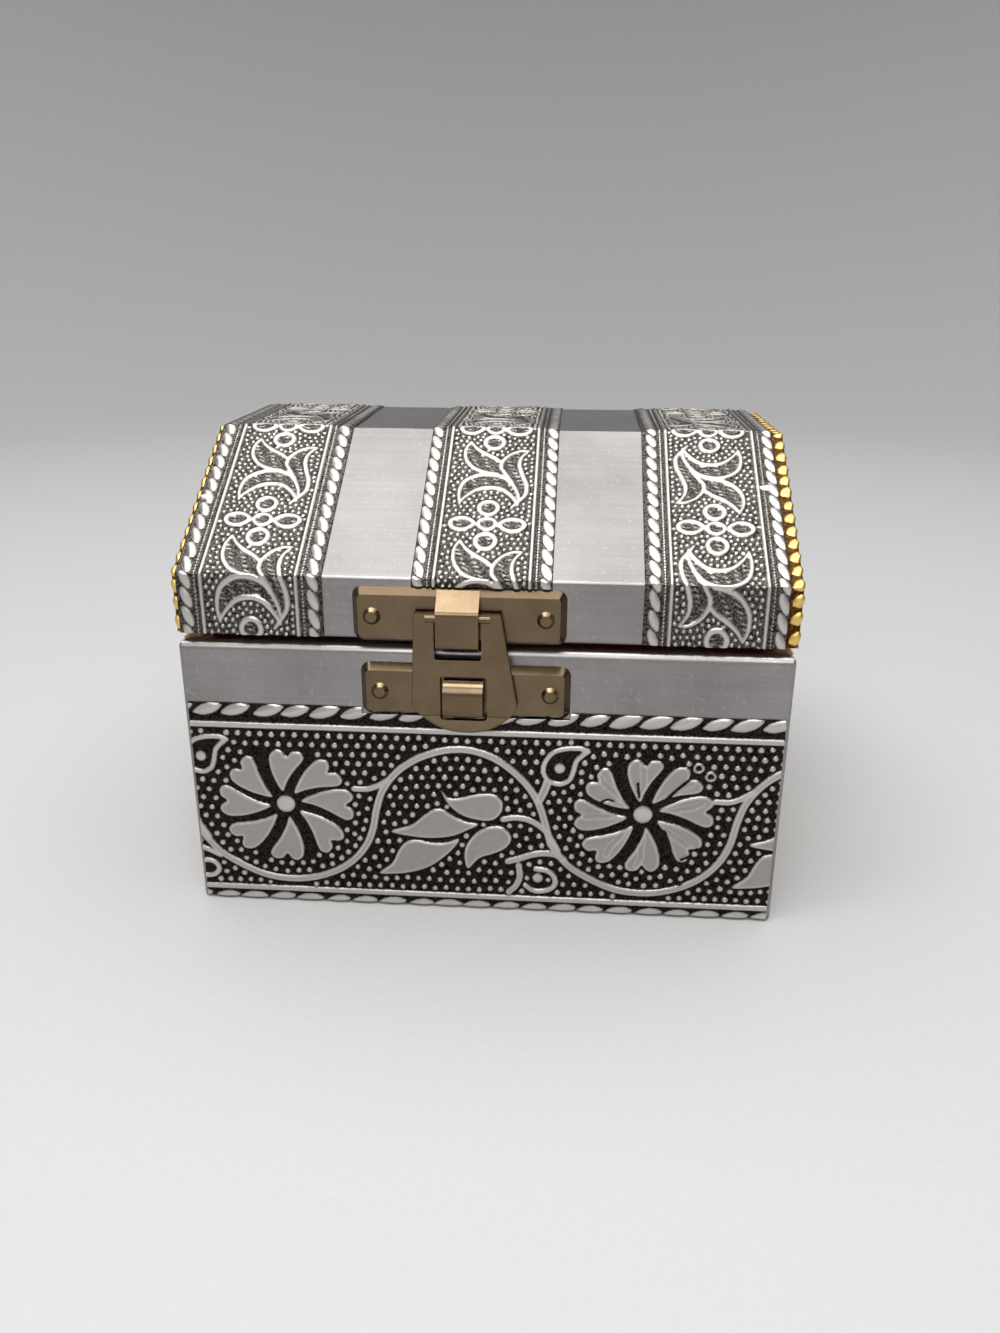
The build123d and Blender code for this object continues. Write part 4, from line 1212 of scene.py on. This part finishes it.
def new_group(name, inputs, effects):
    """A shader node group. inputs are names and default numbers, and effects makes the named outputs
    from the group's tree and its inputs."""
    group = bpy.data.node_groups.new(name, "ShaderNodeTree")
    group.interface.new_socket(name="Vector", in_out="INPUT", socket_type="NodeSocketVector")
    for label, default in inputs.items():
        socket = group.interface.new_socket(name=label, in_out="INPUT", socket_type="NodeSocketFloat")
        socket.default_value = default
    made = effects(group, put(group, "NodeGroupInput").outputs)
    for label in made:
        group.interface.new_socket(name=label, in_out="OUTPUT", socket_type="NodeSocketFloat")
    put(group, "NodeGroupOutput", made)
    return group


def math_node(tree, operation, *values):
    """The result of one sum."""
    return put(tree, "ShaderNodeMath", dict(enumerate(values)), operation=operation).outputs[0]


def share(tree, value, factor):
    """A part of a number."""
    return math_node(tree, "MULTIPLY", value, factor)


def cloudy(tree, given):
    """Patches left by handling, large and fine."""
    cloud = noise(tree, given["Vector"], given["Scale"], 4.0, Roughness=0.6)
    fine = noise(tree, given["Vector"], given["Fine Scale"], 3.0)
    return {"Patches": spread_out(tree, cloud, 0.35, 0.68), "Fine": spread_out(tree, fine, 0.35, 0.65)}


def ruled(tree, given):
    """Fine lines that run along X, as rolling or drawing leaves them, or as grain in wood."""
    stretch = put(tree, "ShaderNodeCombineXYZ",
                  {"X": given["Along"], "Y": given["Across"], "Z": given["Across"]}).outputs[0]
    scaled = put(tree, "ShaderNodeVectorMath", {0: given["Vector"], 1: stretch}, operation="MULTIPLY")
    return {"Lines": spread_out(tree, noise(tree, scaled.outputs[0], 1.0, 3.0), 0.3, 0.7)}


def hurt_by_use(tree, given):
    """Soft dents, and thin scratches in three directions."""
    cells = put(tree, "ShaderNodeTexVoronoi", {"Vector": given["Vector"], "Scale": given["Dent Scale"],
                                               "Smoothness": 0.6}, feature="SMOOTH_F1")
    scratches = None
    for turn, offset in SCRATCH_WAYS:
        twist = put(tree, "ShaderNodeMapping", {"Vector": given["Vector"], "Location": (offset,) * 3,
                                                "Rotation": (turn,) * 3, "Scale": (SCRATCH_LONG, 1, 1)},
                    vector_type="TEXTURE")
        line = spread_out(tree, noise(tree, twist.outputs[0], given["Scratch Scale"], 0.0), 0.76, 0.80)
        scratches = math_node(tree, "MAXIMUM", scratches, line) if scratches else line
    return {"Dents": spread_out(tree, cells.outputs["Distance"], 0.0, 0.28), "Scratches": scratches}


def punched(tree, given):
    """The fine grain of matted ground."""
    pits = put(tree, "ShaderNodeTexVoronoi", {"Vector": given["Vector"], "Scale": given["Scale"]})
    return {"Grain": spread_out(tree, pits.outputs["Distance"], 0.15, 0.75)}


patches = new_group("handled_patches", {"Scale": 60.0, "Fine Scale": 700.0}, cloudy)
drawn = new_group("drawn_lines", {"Along": 20.0, "Across": 1800.0}, ruled)
knocks = new_group("knocks_and_scratches", {"Dent Scale": 120.0, "Scratch Scale": 260.0}, hurt_by_use)
matted = new_group("matted_ground", {"Scale": 2600.0}, punched)
print("effect groups:", sorted(group.name for group in bpy.data.node_groups))

# %% [markdown]
# The pressed sheet's finish follows the mask that came with the mesh. High parts are bare metal, dulled
# in patches and brightest at their rims, which is partly wear and partly a painted highlight; the ground
# keeps its black, which is rougher and finely punched.

# %% Groups, colours and bumps in a material
def blend_colour(tree, factor, one, two):
    """Mixes two colours by a number."""
    return put(tree, "ShaderNodeMix", {0: factor, 6: one, 7: two}, data_type="RGBA").outputs[2]


def place_group(tree, group, where, **scales):
    """Places an effect group and gives its outputs. An underscore stands for a space."""
    inputs = {label.replace("_", " "): value for label, value in scales.items()}
    return put(tree, "ShaderNodeGroup", {"Vector": where, **inputs}, node_tree=group).outputs


def tint(tree, shader, colour, *steps):
    """Feeds the shader a colour that is blended with others, each by its own number."""
    for factor, other in steps:
        colour = blend_colour(tree, factor, colour, other)
    tree.links.new(colour, shader.inputs["Base Color"])


def bump(tree, shader, height, strength, distance):
    """Feeds a height to the shader's normal."""
    made = put(tree, "ShaderNodeBump", {"Height": height, "Strength": strength, "Distance": distance})
    tree.links.new(made.outputs["Normal"], shader.inputs["Normal"])


# %% The pressed finish, read from the mask
METAL = {"Metallic": 1.0, "IOR": 1.5}


def pressed_finish(name, bright, dull, ground, ground_grain_light):
    """Bare metal on what stands up, and blackened, finely punched metal between."""
    made, tree, shader, where = new_finish(name, METAL)
    mask = put(tree, "ShaderNodeAttribute", attribute_name="raised").outputs["Fac"]
    worn = place_group(tree, patches, where, Scale=90.0, Fine_Scale=1500.0)
    grain = place_group(tree, matted, where, Scale=2600.0)["Grain"]
    bare = spread_out(tree, math_node(tree, "SUBTRACT", mask, share(tree, worn["Fine"], 0.22)), 0.1, 0.45)
    # The bare metal is brightest where the mask is highest: painted rim highlights and wear, less the handling
    # patches.
    rubbed_and_highlit = spread_out(tree, mask, 0.66, 0.95)
    rubbed_and_highlit = math_node(tree, "SUBTRACT", rubbed_and_highlit, share(tree, worn["Patches"], 0.25))
    metal = blend_colour(tree, rubbed_and_highlit, dull, bright)
    black = blend_colour(tree, grain, ground_grain_light, ground)
    tint(tree, shader, black, (bare, metal))
    rough = spread_out(tree, worn["Patches"], 0, 1, 0.27, 0.4)
    tree.links.new(math_node(tree, "ADD", rough, spread_out(tree, bare, 0, 1, 0.12, 0.0)),
                   shader.inputs["Roughness"])
    surface = math_node(tree, "ADD", share(tree, worn["Fine"], 0.4), grain)
    bump(tree, shader, surface, spread_out(tree, bare, 0, 1, 0.7, 0.12), 0.00008)
    return made


# %% Pressed silver and pressed gilt
# The strips' ground is mixed several times lighter than the band's: painted light, the strips lying mostly on
# the lit slope and the band on the shaded wall.
SILVER = ((0.56, 0.53, 0.5, 1), (0.36, 0.335, 0.31, 1))
silver_strip_lit_ground = pressed_finish("pressed_silver_strip", *SILVER,
                              (0.02, 0.0175, 0.015, 1), (0.14, 0.127, 0.11, 1))
silver_band_shaded_ground = pressed_finish("pressed_silver_band", *SILVER,
                             (0.006, 0.005, 0.0045, 1), (0.034, 0.03, 0.027, 1))
gilt_pressed = pressed_finish("pressed_gilt", (0.80, 0.56, 0.19, 1), (0.52, 0.29, 0.07, 1),
                              (0.03, 0.014, 0.005, 1), (0.13, 0.06, 0.015, 1))
print("pressed finishes:", silver_strip_lit_ground.name, silver_band_shaded_ground.name, gilt_pressed.name)

# %% [markdown]
# The plain sheet keeps the lines of its rolling and the marks of use. The brass was once lacquered and
# has gone brown; the hinge pins are plain steel.

# %% Plain rolled sheet, satin brass and steel
silver_plain, tree, shader, where = new_finish("plain_silver", METAL)
cloud = place_group(tree, patches, where, Scale=45.0, Fine_Scale=900.0)["Patches"]
lines = place_group(tree, drawn, where, Along=25.0, Across=1500.0)["Lines"]
hurt = place_group(tree, knocks, where, Dent_Scale=55.0, Scratch_Scale=1900.0)
tint(tree, shader, (0.32, 0.302, 0.298, 1), (cloud, (0.245, 0.231, 0.228, 1)),
     (share(tree, lines, 0.3), (0.195, 0.183, 0.18, 1)), (share(tree, hurt["Scratches"], 0.14), grey(0.6)))
tree.links.new(math_node(tree, "ADD", spread_out(tree, cloud, 0, 1, 0.24, 0.36), share(tree, lines, 0.08)),
               shader.inputs["Roughness"])
bump(tree, shader, math_node(tree, "ADD", share(tree, lines, 0.12), hurt["Dents"]), 0.35, 0.00012)

brass, tree, shader, where = new_finish("satin_brass", METAL)
cloud = place_group(tree, patches, where, Scale=120.0, Fine_Scale=2600.0)
lines = place_group(tree, drawn, where, Along=90.0, Across=2600.0)["Lines"]
hurt = place_group(tree, knocks, where, Dent_Scale=210.0, Scratch_Scale=1500.0)
tint(tree, shader, (0.18, 0.131, 0.08, 1), (cloud["Patches"], (0.135, 0.095, 0.058, 1)),
     (share(tree, cloud["Fine"], 0.16), (0.108, 0.076, 0.046, 1)))
tree.links.new(spread_out(tree, cloud["Patches"], 0, 1, 0.2, 0.3), shader.inputs["Roughness"])
bump(tree, shader, math_node(tree, "ADD", share(tree, lines, 0.2), hurt["Dents"]), 0.12, 0.00004)

steel, tree, shader, where = new_finish("steel_pin", METAL)
cloud = place_group(tree, patches, where, Scale=400.0, Fine_Scale=3000.0)
tint(tree, shader, grey(0.62), (cloud["Patches"], (0.42, 0.39, 0.36, 1)))
tree.links.new(spread_out(tree, cloud["Fine"], 0, 1, 0.25, 0.45), shader.inputs["Roughness"])
print("plain metals:", silver_plain.name, brass.name, steel.name)

# %% [markdown]
# Velvet is bright at its edges and dark face on, which sheen does, and it shows where it was brushed.
# Felt is a flat mat of fibres. The boards are a pale hardwood with the grain along their length.

# %% Velvet, felt and wood
velvet, tree, shader, where = new_finish("wine_velvet", {
    "Roughness": 0.9, "Sheen Weight": 0.7, "Sheen Roughness": 0.35, "Sheen Tint": (1.0, 0.45, 0.5, 1),
    "Specular IOR Level": 0.2})
brushed = place_group(tree, patches, where, Scale=70.0, Fine_Scale=3500.0)
tint(tree, shader, (0.165, 0.010, 0.022, 1), (brushed["Patches"], (0.085, 0.004, 0.012, 1)),
     (share(tree, brushed["Fine"], 0.35), (0.03, 0.001, 0.004, 1)))
bump(tree, shader, brushed["Fine"], 0.6, 0.0002)

felt, tree, shader, where = new_finish("black_felt", {"Roughness": 0.95, "Sheen Weight": 0.25,
                                                      "Specular IOR Level": 0.15})
fibres = noise(tree, where, 1600.0, 5.0, Distortion=2.0)
tint(tree, shader, grey(0.012), (fibres, grey(0.05)))
bump(tree, shader, fibres, 0.8, 0.0002)

wood, tree, shader, where = new_finish("pale_wood", {"Roughness": 0.6})
grain = place_group(tree, drawn, where, Along=22.0, Across=420.0)["Lines"]
pores = place_group(tree, drawn, where, Along=120.0, Across=2400.0)["Lines"]
tint(tree, shader, (0.50, 0.31, 0.16, 1), (grain, (0.33, 0.18, 0.085, 1)),
     (share(tree, pores, 0.4), (0.19, 0.095, 0.04, 1)))
bump(tree, shader, pores, 0.4, 0.0001)
print("soft and wooden finishes:", velvet.name, felt.name, wood.name)

# %% Give every piece and every carried-over node its finish
NEW_FINISH = {"pressed_front_band": silver_band_shaded_ground, "pressed_back_band": silver_band_shaded_ground,
              "pressed_strip": silver_strip_lit_ground, "pressed": gilt_pressed, "plain": silver_plain,
              "velvet": velvet, "felt": felt}
CARRIED_FINISH = {"silver_sheet": silver_plain, "gilt_sheet": gilt_pressed, "wood": wood, "brass": brass,
                  "steel_pin": steel, "velvet": velvet, "felt": felt}


def paint_all(thing, finish):
    """Every slot of the piece takes one finish."""
    if not thing.data.materials:
        thing.data.materials.append(finish)
    for k in range(len(thing.data.materials)):
        thing.data.materials[k] = finish


for part in frame["record"]["subparts"]:
    paint_all(nodes[part["node"]], CARRIED_FINISH[part["material_slot"]])
new_pieces = [thing for thing in bpy.data.objects if "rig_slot" in thing and thing.name not in nodes]
for thing in new_pieces:
    paint_all(thing, next(finish for start, finish in NEW_FINISH.items() if thing.name.startswith(start)))
print("new pieces:", sorted(thing.name for thing in new_pieces))
